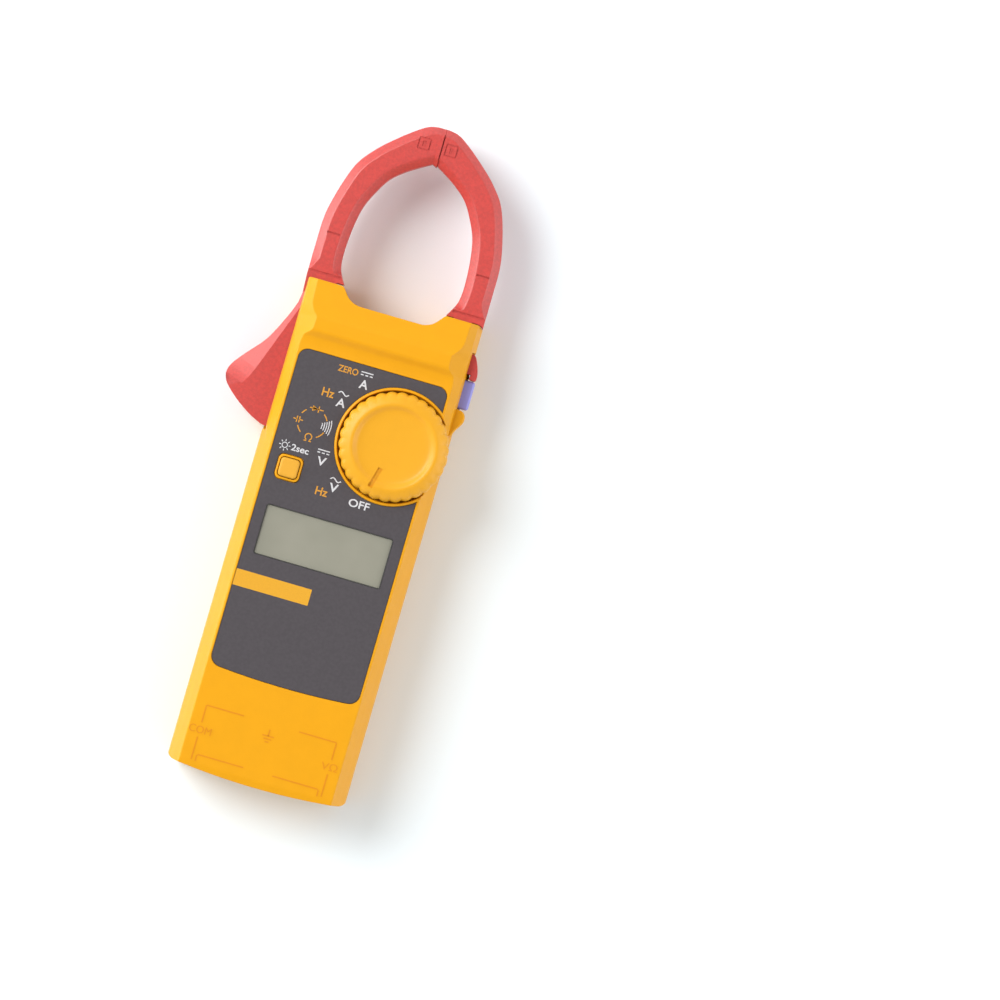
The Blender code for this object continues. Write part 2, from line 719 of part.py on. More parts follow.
def hold_button():
    """Side key that is pushed in towards -X."""
    x, y, z = HOLD_KEY
    key = outline_solid("hold_button", [(x, y - 4.4), (29.7, y - 4.4), (30.0, y - 3.8),
                                        (29.95, y + 4.0), (29.6, y + 4.4), (x, y + 4.4)],
                        z - 3.7, z + 3.7)
    join(key, box("hold_flange", (x - 0.7, x + 0.2), (y - 5.3, y + 5.3), (z - 4.6, z + 4.4)))
    finish(key, "violet_plastic")
    switch = box("hold_switch", (17.4, 21.6), (52.0, 57.0), (15.2, 18.7))
    join(switch, box("hold_plunger", (21.0, 22.3), (53.6, 55.4), (16.2, 17.8)))
    finish(switch, "black_plastic")


# ---------------------------------------------------------------- jaws

def jaw_outer():
    """Outer edge of the right jaw, from its base up to the flat top."""
    side = smooth_through([(27.6, 86.0), (27.1, 96.7), (23.3, 110.3), (18.6, 117.3),
                           (12.2, 123.3), (7.2, 127.2)], 3)
    return [(27.6, JAW_BASE_Y + 0.1), (27.6, 78.4)] + side + [(4.8, 128.8), (2.5, 129.4)]


def jaw_inner():
    """Inner edge of the right jaw, from its base up to the apex of the opening."""
    side = smooth_through([(18.75, 86.0), (18.2, 94.0), (16.9, 100.5), (14.5, 105.8),
                           (11.7, 110.3), (7.5, 114.0)], 2)
    return [(15.9, JAW_BASE_Y), (17.2, 78.3), (18.75, 81.0)] + side + [(0.0, 118.6)]


def fixed_jaw_outline():
    """Right jaw, its side bump and the bridge behind the throat, to a concave end by the hub."""
    hub_end = arc(PIVOT, HUB_RADIUS + 0.4, 43.0, -25.0, 6)
    bump = [(24.1, 60.8), (27.8, 60.8), (28.1, 59.7), (29.4, 59.7), (29.9, 60.7),
            (29.5, 62.3), (28.4, 64.4), (27.9, 66.6), (27.3, 67.0), (24.1, 67.0)]
    return (hub_end + [(22.4, 58.0), (22.4, 60.8)] + bump + [(24.1, JAW_BASE_Y + 0.2)] + jaw_outer()
            + [(-4.0, 129.4), (-4.0, 116.2)] + jaw_inner()[::-1]
            + [(18.1, JAW_BASE_Y - 0.1), (18.1, 73.4), (14.0, 68.6), (-12.7, 68.6)])


def moving_jaw_outline():
    """Left jaw, the hub around the pivot and the trigger that sticks out of the left flank."""
    trigger = smooth_through([(-27.7, 67.5), (-29.6, 62.5), (-33.6, 54.5), (-38.6, 48.5),
                              (-42.0, 43.6)], 3)
    trigger += [(-42.6, 41.6), (-42.3, 39.8), (-41.1, 38.0), (-37.6, 34.7), (-32.6, 31.3),
                (-28.4, 29.3), (-26.6, 29.0), (-25.4, 30.2), (-23.6, 44.0)]
    hub = arc(PIVOT, HUB_RADIUS, -74.0, 41.0, 10)
    throat_side = [(-15.3, 70.6), (-18.1, 73.3), (-18.1, JAW_BASE_Y - 0.1)]
    return ([(5.0, 129.4)] + mirrored(jaw_outer())
            + [(-27.3, 70.5)] + trigger + hub + throat_side
            + [(-x, y) for x, y in jaw_inner()] + [(5.0, 115.6)])


def core_path():
    """Centre line of the ring core from the split down the right side to the bridge."""
    return smooth_through([(SPLIT_X - 0.5, 124.0), (5.2, 122.4), (11.4, 117.7), (19.0, 107.7),
                           (22.5, 97.0), (23.2, 89.0), (22.7, 81.0), (21.8, 75.0), (21.2, 71.0),
                           (18.6, 66.8), (14.0, 65.0)], 2)


def moving_core_path():
    return smooth_through([(SPLIT_X + 0.5, 124.0), (-5.2, 122.4), (-11.4, 117.7), (-19.0, 107.7),
                           (-22.5, 97.0), (-23.2, 89.0), (-22.9, 81.0), (-22.0, 75.0),
                           (-20.9, 70.0), (-18.4, 66.8), (-15.6, 65.4), (-13.2, 64.7)], 2)


def core_channel(name, path, tip_way, end):
    """Hollow for a core, open at the jaw tip and at the inner end."""
    long_path = [(path[0][0] + tip_way * 4.0, path[0][1])] + path + [end]
    return outline_solid(name, band(long_path, CORE_WIDTH + 0.6), CORE_Z[0] - 0.3, CORE_Z[1] + 0.3)


def jaw_marks(tag, side):
    """Base groove, centre tick and tip square in the front face of one jaw."""
    top = JAW_Z[1]
    tip = (3.75, 123.5) if side > 0 else (-4.6, 123.5)
    base = sorted((side * 17.9, side * 28.5))
    tick = sorted((side * 21.3, side * 25.2))
    return [
        box("base_groove_" + tag, base, (77.4, 78.2), (top - 0.5, top + 5.0)),
        box("centre_tick_" + tag, tick, (89.85, 90.35), (top - 0.4, top + 5.0)),
        outline_solid("tip_square_" + tag, square(tip, 3.8, 0.3), top - 0.4, top + 5.0),
    ]


def jaw_half(name, outline, front):
    """One half of a jaw housing, from the seam to its chamfered outer face."""
    if front:
        low, high = JAW_SEAM_Z + SEAM, JAW_Z[1]
    else:
        low, high = JAW_Z[0], JAW_SEAM_Z - SEAM
    half = outline_solid(name, outline, low, high)
    return chamfer_rims(half, JAW_CHAMFER, top=front, bottom=not front, above=78.2)


def facet_cutter(tag, front):
    """Slab that slopes the outer upper edge of the trigger."""
    start = Vector((-28.5, 63.0))
    end = Vector((-37.0, 40.5))
    along = (end - start).normalized()
    outward = Vector((along.y, -along.x))
    middle = start + along * 15.5
    height = JAW_Z[1] if front else JAW_Z[0]
    rise = 1.0 if front else -1.0
    return half_space("trigger_facet_" + tag, (middle.x, middle.y, height),
                      (outward.x, outward.y, rise), 31.0)


def screw(name, centre, head_z, tip_z, head_radius, shank_radius):
    """Slotted screw standing in a counterbore, driven from below."""
    low, high = head_z
    body = turned(name, [(0.0, tip_z), (shank_radius, tip_z), (shank_radius, high),
                         (head_radius, high), (head_radius, low), (0.0, low)], centre, steps=12)
    x, y = centre
    reach = head_radius * 0.7
    cut(body, box(name + "_slot", (x - reach, x + reach), (y - 0.3, y + 0.3),
                  (low - 1.0, low + SCREW_SLOT)))
    finish(body, "steel")


def jaw_screw_holes(tag, spots):
    holes = []
    for i, spot in enumerate(spots):
        holes.append(cylinder(f"{tag}_screw_hole_{i}", spot, 1.5, 5.0, 19.0, sides=8))
        holes.append(cylinder(f"{tag}_screw_seat_{i}", spot, 2.5, 5.0, 9.2, sides=12))
    return holes


def fixed_jaw():
    channel = core_channel("fixed_core_channel", core_path(), -1.0, (-16.0, 65.0))
    lead_notch = box("lead_notch", (-1.8, 1.8), (55.0, 63.0), (12.6, 16.4))
    split = box("fixed_split", (-20.0, SPLIT_X + SEAM), (100.0, 140.0), (0.0, 40.0))
    holes = jaw_screw_holes("fixed", FIXED_JAW_SCREWS)
    for front in (True, False):
        name = "fixed_jaw_front" if front else "fixed_jaw_rear"
        half = jaw_half(name, fixed_jaw_outline(), front)
        cut(half, split, channel, lead_notch, *holes)
        if front:
            cut(half, *jaw_marks("right", 1))
        finish(half, "red_plastic")
    core = outline_solid("fixed_core", band(core_path() + [(1.3, 65.0)], CORE_WIDTH), *CORE_Z)
    cut(core, box("fixed_core_end", (-20.0, SPLIT_X + CORE_SETBACK), (100.0, 140.0), (0.0, 40.0)))
    finish(core, "ferrite")
    half = CORE_WIDTH / 2
    finish(box("bridge_core", (-10.2, -1.3), (65 - half, 65 + half), CORE_Z), "ferrite")
    finish(box("hall_sensor", (-0.7, 0.7), (63.0, 67.0), (12.5, 16.5)), "black_plastic")
    lead = wire("sensor_lead", smooth_through(
        [(0, 62.5, 14.5), (0, 57.8, 14.5), (2.6, 53.0, 15.0), (3.4, 49.4, 17.0), (3.4, 48.8, 18.4)], 3),
        0.6, sides=1)
    finish(lead, "black_plastic")


def moving_jaw():
    channel = core_channel("moving_core_channel", moving_core_path(), 1.0, (-9.5, 63.9))
    split = box("moving_split", (SPLIT_X - SEAM, 20.0), (100.0, 140.0), (0.0, 40.0))
    pin_hole = cylinder("jaw_pin_hole", PIVOT, 1.85, 0.0, 40.0, sides=20)
    holes = jaw_screw_holes("moving", MOVING_JAW_SCREWS)
    for front in (True, False):
        name = "moving_jaw_front" if front else "moving_jaw_rear"
        half = jaw_half(name, moving_jaw_outline(), front)
        cut(half, split, channel, pin_hole, facet_cutter(name, front), *holes)
        if front:
            cut(half, *jaw_marks("left", -1))
        finish(half, "red_plastic")
    core = outline_solid("moving_core", band(moving_core_path(), CORE_WIDTH), *CORE_Z)
    cut(core, box("moving_core_end", (SPLIT_X - CORE_SETBACK, 20.0), (100.0, 140.0), (0.0, 40.0)))
    finish(core, "ferrite")


def jaw_pivot():
    finish(cylinder("pivot_pin", PIVOT, 1.5, 2.9, 25.7, sides=20), "steel", smooth=True)
    coil_radius = 3.6
    per_turn = 10
    count = 22
    coil = []
    for k in range(count + 1):
        angle = radians(290) + 2 * pi * k / per_turn
        coil.append((PIVOT[0] + coil_radius * cos(angle), PIVOT[1] + coil_radius * sin(angle),
                     4.0 + 2.2 * k / count))
    first = [(-22.5, 49.0, 4.0), (-21.2, 56.0, 4.0)]
    last = [(-16.2, 66.0, 6.2), (-15.0, 67.8, 6.2)]
    finish(wire("jaw_spring", first + coil + last, 0.35, sides=1), "steel")


# ---------------------------------------------------------------- board and input side

def main_board():
    outline = [(-22.6, -50.0), (22.6, -50.0), (22.6, 48.0), (21.8, 48.8), (21.8, 57.3),
               (17.2, 57.3), (17.2, 50.0), (-9.0, 50.0), (-9.0, 27.2), (-22.6, 27.2)]
    board = outline_solid("main_board", outline, *BOARD_Z)
    for i, spot in enumerate(CASE_SCREWS[:2]):
        cut(board, cylinder(f"board_notch_{i}", spot, 3.6, 10.0, 30.0, sides=20))
    cut(board, cylinder("board_dial_hole", DIAL, 3.2, 10.0, 30.0, sides=20))
    finish(board, "board_green")


def board_components():
    finish(cylinder("buzzer", (-15.5, 3.0), 6.0, 13.2, 18.7, sides=28), "black_plastic", smooth=True)
    finish(box("measuring_chip", (-6.0, 6.0), (-9.0, 3.0), (17.0, 18.7)), "black_plastic")
    finish(cylinder("input_thermistor", (17.8, -34.0), 3.2, 15.6, 18.7, sides=20), "blue_ceramic",
           smooth=True)


def input_sockets():
    """Two insulated 4 mm sockets that open in the bottom end."""
    for name, x in (("com", -SOCKET_X), ("voltage", SOCKET_X)):
        centre = (x, SOCKET_Z)
        insulator = cylinder(name + "_socket", centre, 4.8, -72.3, -54.5, "Y", sides=24)
        cut(insulator, cylinder(name + "_mouth", centre, 4.1, -80.0, -57.0, "Y", sides=24))
        cut(insulator, cylinder(name + "_tail_hole", centre, 2.95, -80.0, -50.0, "Y", sides=16))
        finish(insulator, "black_plastic")
        contact = cylinder(name + "_contact", centre, 2.6, -71.5, -52.5, "Y", sides=16)
        cut(contact, cylinder(name + "_bore", centre, 2.0, -80.0, -56.0, "Y", sides=16))
        finish(contact, "brass")


# ---------------------------------------------------------------- batteries and screws

def battery_cover():
    cover = outline_solid("battery_cover", rectangle(-14.15, 14.15, -66.15, -8.55, 1.3), 0.0, 1.4)
    chamfer_rims(cover, 0.3, top=False)
    for i, x in enumerate((-8.0, 8.0)):
        join(cover, box(f"cover_tongue_{i}", (x - 2.0, x + 2.0), (-68.0, -65.0), (1.0, 1.4)))
    for i in range(5):
        y = -52.0 + 2.2 * i
        cut(cover, box(f"cover_grip_{i}", (-6.0, 6.0), (y, y + 0.9), (-1.0, 0.4)))
    cut(cover, cylinder("cover_screw_hole", COVER_SCREW, 1.6, -1.0, 3.0, sides=12))
    cut(cover, cylinder("cover_screw_sink", COVER_SCREW, 2.6, -1.0, 0.8, sides=20))
    finish(cover, "yellow_plastic")
    screw("battery_cover_screw", COVER_SCREW, (0.1, 0.5), 7.0, 2.2, 1.0)


def batteries():
    low, high = CELL_Y
    nub = 0.9
    nub_up = [(0.0, high), (1.9, high), (1.9, high - nub), (CELL_RADIUS, high - nub),
              (CELL_RADIUS, low), (0.0, low)]
    nub_down = [(0.0, high), (CELL_RADIUS, high), (CELL_RADIUS, low + nub),
                (1.9, low + nub), (1.9, low), (0.0, low)]
    for i, (x, profile) in enumerate(((-CELL_X, nub_up), (CELL_X, nub_down)), start=1):
        cell = turned(f"battery_cell_{i}", profile, (x, CELL_Z), "Y", steps=24)
        finish(cell, "cell_jacket", smooth=True)
        turns = 3
        per_turn = 8
        coil = []
        for k in range(turns * per_turn + 1):
            share = k / (turns * per_turn)
            angle = 2 * pi * k / per_turn
            radius = 3.6 - 1.4 * share
            coil.append((x + radius * cos(angle), -64.0 + 3.2 * share, CELL_Z + radius * sin(angle)))
        finish(wire(f"battery_spring_{i}", coil, 0.3, sides=1), "steel")
        finish(box(f"battery_contact_{i}", (x - 4.0, x + 4.0), (-15.3, -14.6), (4.0, 12.0)), "steel")


def case_screws():
    for i, spot in enumerate(CASE_SCREWS, start=1):
        screw(f"case_screw_{i}", spot, (6.2, 8.1), 22.5, 2.6, 1.25)


def jaw_screws():
    for i, spot in enumerate(FIXED_JAW_SCREWS, start=1):
        screw(f"fixed_jaw_screw_{i}", spot, (7.3, 8.9), 17.5, 2.1, 1.1)
    for i, spot in enumerate(MOVING_JAW_SCREWS, start=1):
        screw(f"moving_jaw_screw_{i}", spot, (7.3, 8.9), 17.5, 2.1, 1.1)


# ---------------------------------------------------------------- joint axes

def hang_on_axis(name, spot, pieces):
    """Parent the pieces that move together to an empty on their joint's axis."""
    empty = bpy.data.objects.new(name, None)
    empty.location = [value * MM for value in spot]
    PARTS.objects.link(empty)
    bpy.context.view_layer.update()
    for piece in pieces:
        child = bpy.data.objects[piece]
        child.parent = empty
        child.matrix_parent_inverse = empty.matrix_world.inverted()


def joint_axes():
    hang_on_axis("jaw_axis", (*PIVOT, JAW_SEAM_Z), [
        "moving_jaw_front", "moving_jaw_rear", "moving_core", "moving_jaw_screw_1",
        "moving_jaw_screw_2"])
    hang_on_axis("dial_axis", (*DIAL, KNOB_Z[0]), [
        "rotary_knob", "switch_rotor", "knob_screw", "detent_ball_1", "detent_ball_2",
        "detent_spring_1", "detent_spring_2", "wiper_contact_1", "wiper_contact_2",
        "wiper_contact_3"])
    hang_on_axis("backlight_axis", (*BUTTON_CENTRE, FACE_Z), ["backlight_button"])
    hang_on_axis("hold_axis", HOLD_KEY, ["hold_button"])


clear_scene()
PARTS = new_collection("clamp_meter")
CUTTERS = new_collection("clamp_meter_cutters")

front_shell()
rear_shell()
front_label()
display()
rotary_knob()
switch_rotor()
detent_ring()
knob_screw()
backlight_button()
hold_button()
fixed_jaw()
moving_jaw()
jaw_pivot()
main_board()
board_components()
input_sockets()
battery_cover()
batteries()
case_screws()
jaw_screws()
joint_axes()
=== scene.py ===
"""Looks of the clamp meter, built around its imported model.

Frame: origin at the middle of the back face, +Y towards the jaw tip, +X to the right seen from
the front, +Z out of the front face.  Lengths below are in millimetres; MM turns them into metres.
"""
from math import atan2, ceil, cos, pi, radians, sin, tan

import bmesh
import bpy
from mathutils import Matrix, Vector


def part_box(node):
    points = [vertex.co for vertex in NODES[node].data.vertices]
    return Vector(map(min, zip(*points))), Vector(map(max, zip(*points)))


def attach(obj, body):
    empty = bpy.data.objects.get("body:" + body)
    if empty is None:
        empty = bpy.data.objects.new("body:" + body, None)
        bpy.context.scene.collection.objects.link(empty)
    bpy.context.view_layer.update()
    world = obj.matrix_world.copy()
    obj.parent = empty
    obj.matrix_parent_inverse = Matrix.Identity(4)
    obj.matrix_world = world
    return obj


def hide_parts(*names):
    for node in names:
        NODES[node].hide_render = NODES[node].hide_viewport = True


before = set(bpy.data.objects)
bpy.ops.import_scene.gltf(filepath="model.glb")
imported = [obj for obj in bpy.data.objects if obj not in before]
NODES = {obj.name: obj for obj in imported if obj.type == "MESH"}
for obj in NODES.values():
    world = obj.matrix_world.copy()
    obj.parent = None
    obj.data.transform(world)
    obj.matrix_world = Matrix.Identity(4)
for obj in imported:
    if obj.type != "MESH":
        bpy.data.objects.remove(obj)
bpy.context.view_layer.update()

MM = 0.001


def corner_mm(node):
    """Lowest and highest corner of a CAD node, in millimetres."""
    low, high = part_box(node)
    return low / MM, high / MM


# ---------------------------------------------------------------- sizes, read from the frame

FRONT_LOW, FRONT_HIGH = corner_mm("front_shell")
REAR_HIGH = corner_mm("rear_shell")[1]
LABEL_LOW, LABEL_HIGH = corner_mm("front_label")
WINDOW_LOW, WINDOW_HIGH = corner_mm("display_window")
KNOB_HIGH = corner_mm("rotary_knob")[1]
KEY_LOW, KEY_HIGH = corner_mm("backlight_button")
HOLD_HIGH = corner_mm("hold_button")[1]
COVER_LOW, COVER_HIGH = corner_mm("battery_cover")
JAW_HIGH = corner_mm("fixed_jaw_front")[1]
PIN_LOW, PIN_HIGH = corner_mm("pivot_pin")

HALF_WIDTH = -FRONT_LOW.x
WALL = 2.2
REAR_WALL = 2.4
SHOULDER_Y = FRONT_HIGH.y
THROAT_Y = 71.15
BOTTOM_CORNER_Y = -73.9
BOTTOM_BOW = 1.8
FACE_Z = 29.5
FACE_HALF_WIDTH = 23.78
FRONT_SEAM = FRONT_LOW.z
REAR_SEAM = REAR_HIGH.z
FIT = 0.35

LABEL_HALF_WIDTH = LABEL_HIGH.x
LABEL_TOP = LABEL_HIGH.y
LABEL_BOTTOM = -43.4
BUTTON_CENTRE = (-16.4, 19.0)
BUTTON_SIZE = 5.8
BEZEL_SIZE = 7.5

DIAL = (11.9, 33.7)
KNOB_BASE = 27.8
KNOB_LOBES = 30
RING_RADII = (16.9, 17.5)
OFF_ANGLE = -105.0

JAW_SEAM = (14.35, 14.65)
JAW_BASE_Y = 76.05
SPLIT_X = 0.8
SPLIT_GAP = 0.04
PIVOT = ((PIN_LOW.x + PIN_HIGH.x) / 2, (PIN_LOW.y + PIN_HIGH.y) / 2)
HUB_RADIUS = 9.0
JAW_SLOT_Z = (6.6, 22.4)
CORE_WIDTH = 4.8
CORE_Z = (9.4, 19.6)
CORE_FIT = 0.3

SOCKET_X = 20.2
SOCKET_Z = 15.5
SOCKET_HOLE = [(0, -80.0), (4.1, -80.0), (4.1, -70.0), (0, -70.0)]
HOLD_KEY = (24.0, 54.6, 17.5)
CASE_SCREWS = ((-19.5, -45.0), (19.5, -45.0), (-4.0, 53.5), (12.5, 53.5))
COVER_SCREW = (0.0, -11.4)


# ---------------------------------------------------------------- outlines

def rounded(corners, step=7.0):
    """Turn each (x, y, radius) corner of a closed outline into an arc."""
    outline = []
    count = len(corners)
    for i, (x, y, radius) in enumerate(corners):
        here = Vector((x, y))
        if radius == 0:
            outline.append((x, y))
            continue
        back = (Vector(corners[i - 1][:2]) - here).normalized()
        ahead = (Vector(corners[(i + 1) % count][:2]) - here).normalized()
        half = back.angle(ahead) / 2
        centre = here + (back + ahead).normalized() * radius / sin(half)
        start = here + back * radius / tan(half) - centre
        end = here + ahead * radius / tan(half) - centre
        first = atan2(start.y, start.x)
        sweep = (atan2(end.y, end.x) - first + pi) % (2 * pi) - pi
        steps = max(1, ceil(abs(sweep) / radians(step)))
        for k in range(steps + 1):
            angle = first + sweep * k / steps
            outline.append((centre.x + radius * cos(angle), centre.y + radius * sin(angle)))
    return outline


def rectangle(left, right, bottom, top, radius=0.0):
    return rounded([(left, bottom, radius), (right, bottom, radius),
                    (right, top, radius), (left, top, radius)])


def square(centre, size, radius):
    half = size / 2
    return rectangle(centre[0] - half, centre[0] + half, centre[1] - half, centre[1] + half, radius)


def arc(centre, radius, first, last, steps):
    points = []
    for k in range(steps + 1):
        angle = radians(first + (last - first) * k / steps)
        points.append((centre[0] + radius * cos(angle), centre[1] + radius * sin(angle)))
    return points


def smooth_through(points, per_span):
    """Catmull-Rom curve through the points, ends included."""
    padded = [points[0]] + list(points) + [points[-1]]
    curve = []
    for a, b, c, d in zip(padded, padded[1:], padded[2:], padded[3:]):
        for k in range(per_span):
            t = k / per_span
            curve.append(tuple(
                0.5 * (2 * q + (r - p) * t + (2 * p - 5 * q + 4 * r - s) * t ** 2
                       + (3 * q - p - 3 * r + s) * t ** 3)
                for p, q, r, s in zip(a, b, c, d)))
    curve.append(tuple(points[-1]))
    return curve


def mirrored(points):
    return [(-x, y) for x, y in reversed(points)]


def shrink(outline, inset, share=None):
    """Move a closed anticlockwise outline inwards; share(x, y) scales the inset from place to place."""
    count = len(outline)
    moved = []
    for i in range(count):
        here = Vector(outline[i])
        back = (here - Vector(outline[i - 1])).normalized()
        ahead = (Vector(outline[(i + 1) % count]) - here).normalized()
        normal = Vector((-back.y - ahead.y, back.x + ahead.x))
        normal = normal.normalized() if normal.length > 1e-6 else Vector((-back.y, back.x))
        lean = max(0.35, normal.dot(Vector((-back.y, back.x))))
        amount = inset * (share(here.x, here.y) if share else 1.0) / lean
        moved.append((here.x + normal.x * amount, here.y + normal.y * amount))
    return moved


def eased(keys, at):
    """Monotone cubic curve through (place, value, value...) keys, read at one place."""
    if at <= keys[0][0]:
        return keys[0][1:]
    if at >= keys[-1][0]:
        return keys[-1][1:]
    i = max(k for k in range(len(keys) - 1) if keys[k][0] <= at)
    gap = keys[i + 1][0] - keys[i][0]
    t = (at - keys[i][0]) / gap

    def slope(k, part):
        if k == 0 or k == len(keys) - 1:
            return 0.0
        before = (keys[k][part] - keys[k - 1][part]) / (keys[k][0] - keys[k - 1][0])
        after = (keys[k + 1][part] - keys[k][part]) / (keys[k + 1][0] - keys[k][0])
        return 2 * before * after / (before + after) if before * after > 0 else 0.0

    values = []
    for part in range(1, len(keys[0])):
        low, high = keys[i][part], keys[i + 1][part]
        values.append((2 * t ** 3 - 3 * t ** 2 + 1) * low + (3 * t ** 2 - 2 * t ** 3) * high
                      + (t ** 3 - 2 * t ** 2 + t) * gap * slope(i, part)
                      + (t ** 3 - t ** 2) * gap * slope(i + 1, part))
    return tuple(values)


def filleted(points, radii, steps=5):
    """Open path with each inner corner turned into an arc of a fixed number of points."""
    path = [points[0]]
    for before, here, after, radius in zip(points, points[1:], points[2:], radii):
        here = Vector(here)
        back = Vector(before) - here
        ahead = Vector(after) - here
        half = back.angle(ahead) / 2
        reach = min(radius / tan(half), back.length * 0.48, ahead.length * 0.48)
        start = here + back.normalized() * reach
        end = here + ahead.normalized() * reach
        for k in range(steps + 1):
            t = k / steps
            path.append(tuple((1 - t) ** 2 * start + 2 * t * (1 - t) * here + t ** 2 * end))
    path.append(points[-1])
    return path


# ---------------------------------------------------------------- mesh building

def new_object(name, work):
    bmesh.ops.recalc_face_normals(work, faces=work.faces)
    mesh = bpy.data.meshes.new(name)
    work.to_mesh(mesh)
    work.free()
    obj = bpy.data.objects.new(name, mesh)
    bpy.context.scene.collection.objects.link(obj)
    return obj


def loft(name, rings):
    """Closed skin through rings of matching (x, y, z) points."""
    work = bmesh.new()
    rows = [[work.verts.new((x * MM, y * MM, z * MM)) for x, y, z in ring] for ring in rings]
    for lower, upper in zip(rows, rows[1:]):
        for k in range(len(lower)):
            n = (k + 1) % len(lower)
            work.faces.new((lower[k], lower[n], upper[n], upper[k]))
    work.faces.new(rows[0][::-1])
    work.faces.new(rows[-1])
    return new_object(name, work)


def layered(name, outline, levels, share=None):
    """Solid on an outline, moved inwards by a different amount at each (z, inset) level."""
    rings = []
    for z, inset in levels:
        rings.append([(x, y, z) for x, y in shrink(outline, inset, share)])
    return loft(name, rings)


def prism(name, outline, low, high):
    return layered(name, outline, [(low, 0.0), (high, 0.0)])


def prism_along_y(name, section, low, high):
    return loft(name, [[(x, y, z) for x, z in section] for y in (low, high)])


def box(name, x, y, z):
    return prism(name, rectangle(x[0], x[1], y[0], y[1]), z[0], z[1])


def soft_box(name, x, y, z, radius, segments=4):
    """Box with all its edges rounded."""
    work = bmesh.new()
    bmesh.ops.create_cube(work, size=1.0)
    limits = (x, y, z)
    scale = Matrix.Diagonal([(high - low) * MM for low, high in limits]).to_4x4()
    middle = Matrix.Translation([(high + low) / 2 * MM for low, high in limits])
    bmesh.ops.transform(work, matrix=middle @ scale, verts=work.verts)
    bmesh.ops.bevel(work, geom=work.edges[:], offset=radius * MM, segments=segments,
                    profile=0.5, affect="EDGES")
    return new_object(name, work)


def lathe(name, profile, centre, steps=96, along="Z"):
    """Turn a closed (r, h) profile that starts and ends on the axis, or a ring profile off it."""
    work = bmesh.new()
    rings = []
    for r, h in profile:
        if r == 0:
            rings.append([work.verts.new((0.0, 0.0, h * MM))])
            continue
        ring = []
        for k in range(steps):
            angle = 2 * pi * k / steps
            ring.append(work.verts.new((r * cos(angle) * MM, r * sin(angle) * MM, h * MM)))
        rings.append(ring)
    pairs = list(zip(rings, rings[1:]))
    if profile[0][0] > 0:
        pairs.append((rings[-1], rings[0]))
    for lower, upper in pairs:
        for k in range(steps):
            n = (k + 1) % steps
            around = [lower[k % len(lower)], lower[n % len(lower)],
                      upper[n % len(upper)], upper[k % len(upper)]]
            work.faces.new(list(dict.fromkeys(around)))
    if along == "Z":
        place = Matrix.Translation((centre[0] * MM, centre[1] * MM, 0.0))
    else:
        place = Matrix.Translation((centre[0] * MM, 0.0, centre[1] * MM)) @ Matrix.Rotation(
            -pi / 2, 4, "X")
    bmesh.ops.transform(work, matrix=place, verts=work.verts)
    return new_object(name, work)


def freeze(obj):
    """Apply an object's modifiers."""
    bpy.context.view_layer.update()
    graph = bpy.context.evaluated_depsgraph_get()
    mesh = bpy.data.meshes.new_from_object(obj.evaluated_get(graph))
    obj.modifiers.clear()
    obj.data = mesh
    return obj


def combine(obj, others, operation):
    for other in others:
        modifier = obj.modifiers.new(operation.title(), "BOOLEAN")
        modifier.operation = operation
        modifier.solver = "EXACT"
        modifier.object = other
    freeze(obj)
    for other in others:
        bpy.data.objects.remove(other, do_unlink=True)
    return obj


def cut(obj, *others):
    return combine(obj, others, "DIFFERENCE")


def join(obj, *others):
    return combine(obj, others, "UNION")


def keep_inside(obj, other):
    return combine(obj, [other], "INTERSECT")


def soften(obj, width, angle=38.0, keep_sharp=None):
    """Last step on a cut piece: merge needless points, then break its sharp edges.

    keep_sharp is a test on a point in mm; edges that touch such a point stay as they are.
    """
    work = bmesh.new()
    work.from_mesh(obj.data)
    bmesh.ops.remove_doubles(work, verts=work.verts, dist=0.01 * MM)
    bmesh.ops.dissolve_limit(work, angle_limit=radians(0.05), verts=work.verts, edges=work.edges)
    chosen = []
    for edge in work.edges:
        if len(edge.link_faces) != 2 or edge.calc_face_angle() < radians(angle):
            continue
        if keep_sharp and any(keep_sharp(vert.co / MM) for vert in edge.verts):
            continue
        chosen.append(edge)
    bmesh.ops.bevel(work, geom=chosen, offset=width * MM, offset_type="OFFSET", segments=2,
                    profile=0.5, affect="EDGES", clamp_overlap=False)
    work.to_mesh(obj.data)
    work.free()
    return obj


def by_the_guard(point):
    """The part of the right flank with the guard and the openings, where edges are close together."""
    return point.x > 24.9 and 39.0 < point.y < 80.0


def shade(obj, angle=30.0):
    obj.data.shade_smooth()
    obj.data.set_sharp_from_angle(angle=radians(angle))
    weighted = obj.modifiers.new("Weighted", "WEIGHTED_NORMAL")
    weighted.keep_sharp = True
    return obj


def add_piece(obj, body, material, replaces=(), angle=30.0):
    """Shade a finished piece, give it its material and make it ride on its body."""
    shade(obj, angle)
    obj.data.materials.clear()
    obj.data.materials.append(material)
    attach(obj, body)
    if replaces:
        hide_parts(*replaces)
    return obj


# ---------------------------------------------------------------- materials

def node_material(name):
    material = bpy.data.materials.new(name)
    material.use_nodes = True
    shader = material.node_tree.nodes["Principled BSDF"]
    return material, material.node_tree, shader


def noise(tree, size_mm, detail=4.0, roughness=0.55):
    """Noise in the object's own space, with features of about the given size."""
    place = tree.nodes.new("ShaderNodeTexCoord")
    texture = tree.nodes.new("ShaderNodeTexNoise")
    texture.inputs["Scale"].default_value = 1.0 / (size_mm * MM)
    texture.inputs["Detail"].default_value = detail
    texture.inputs["Roughness"].default_value = roughness
    tree.links.new(place.outputs["Object"], texture.inputs["Vector"])
    return texture


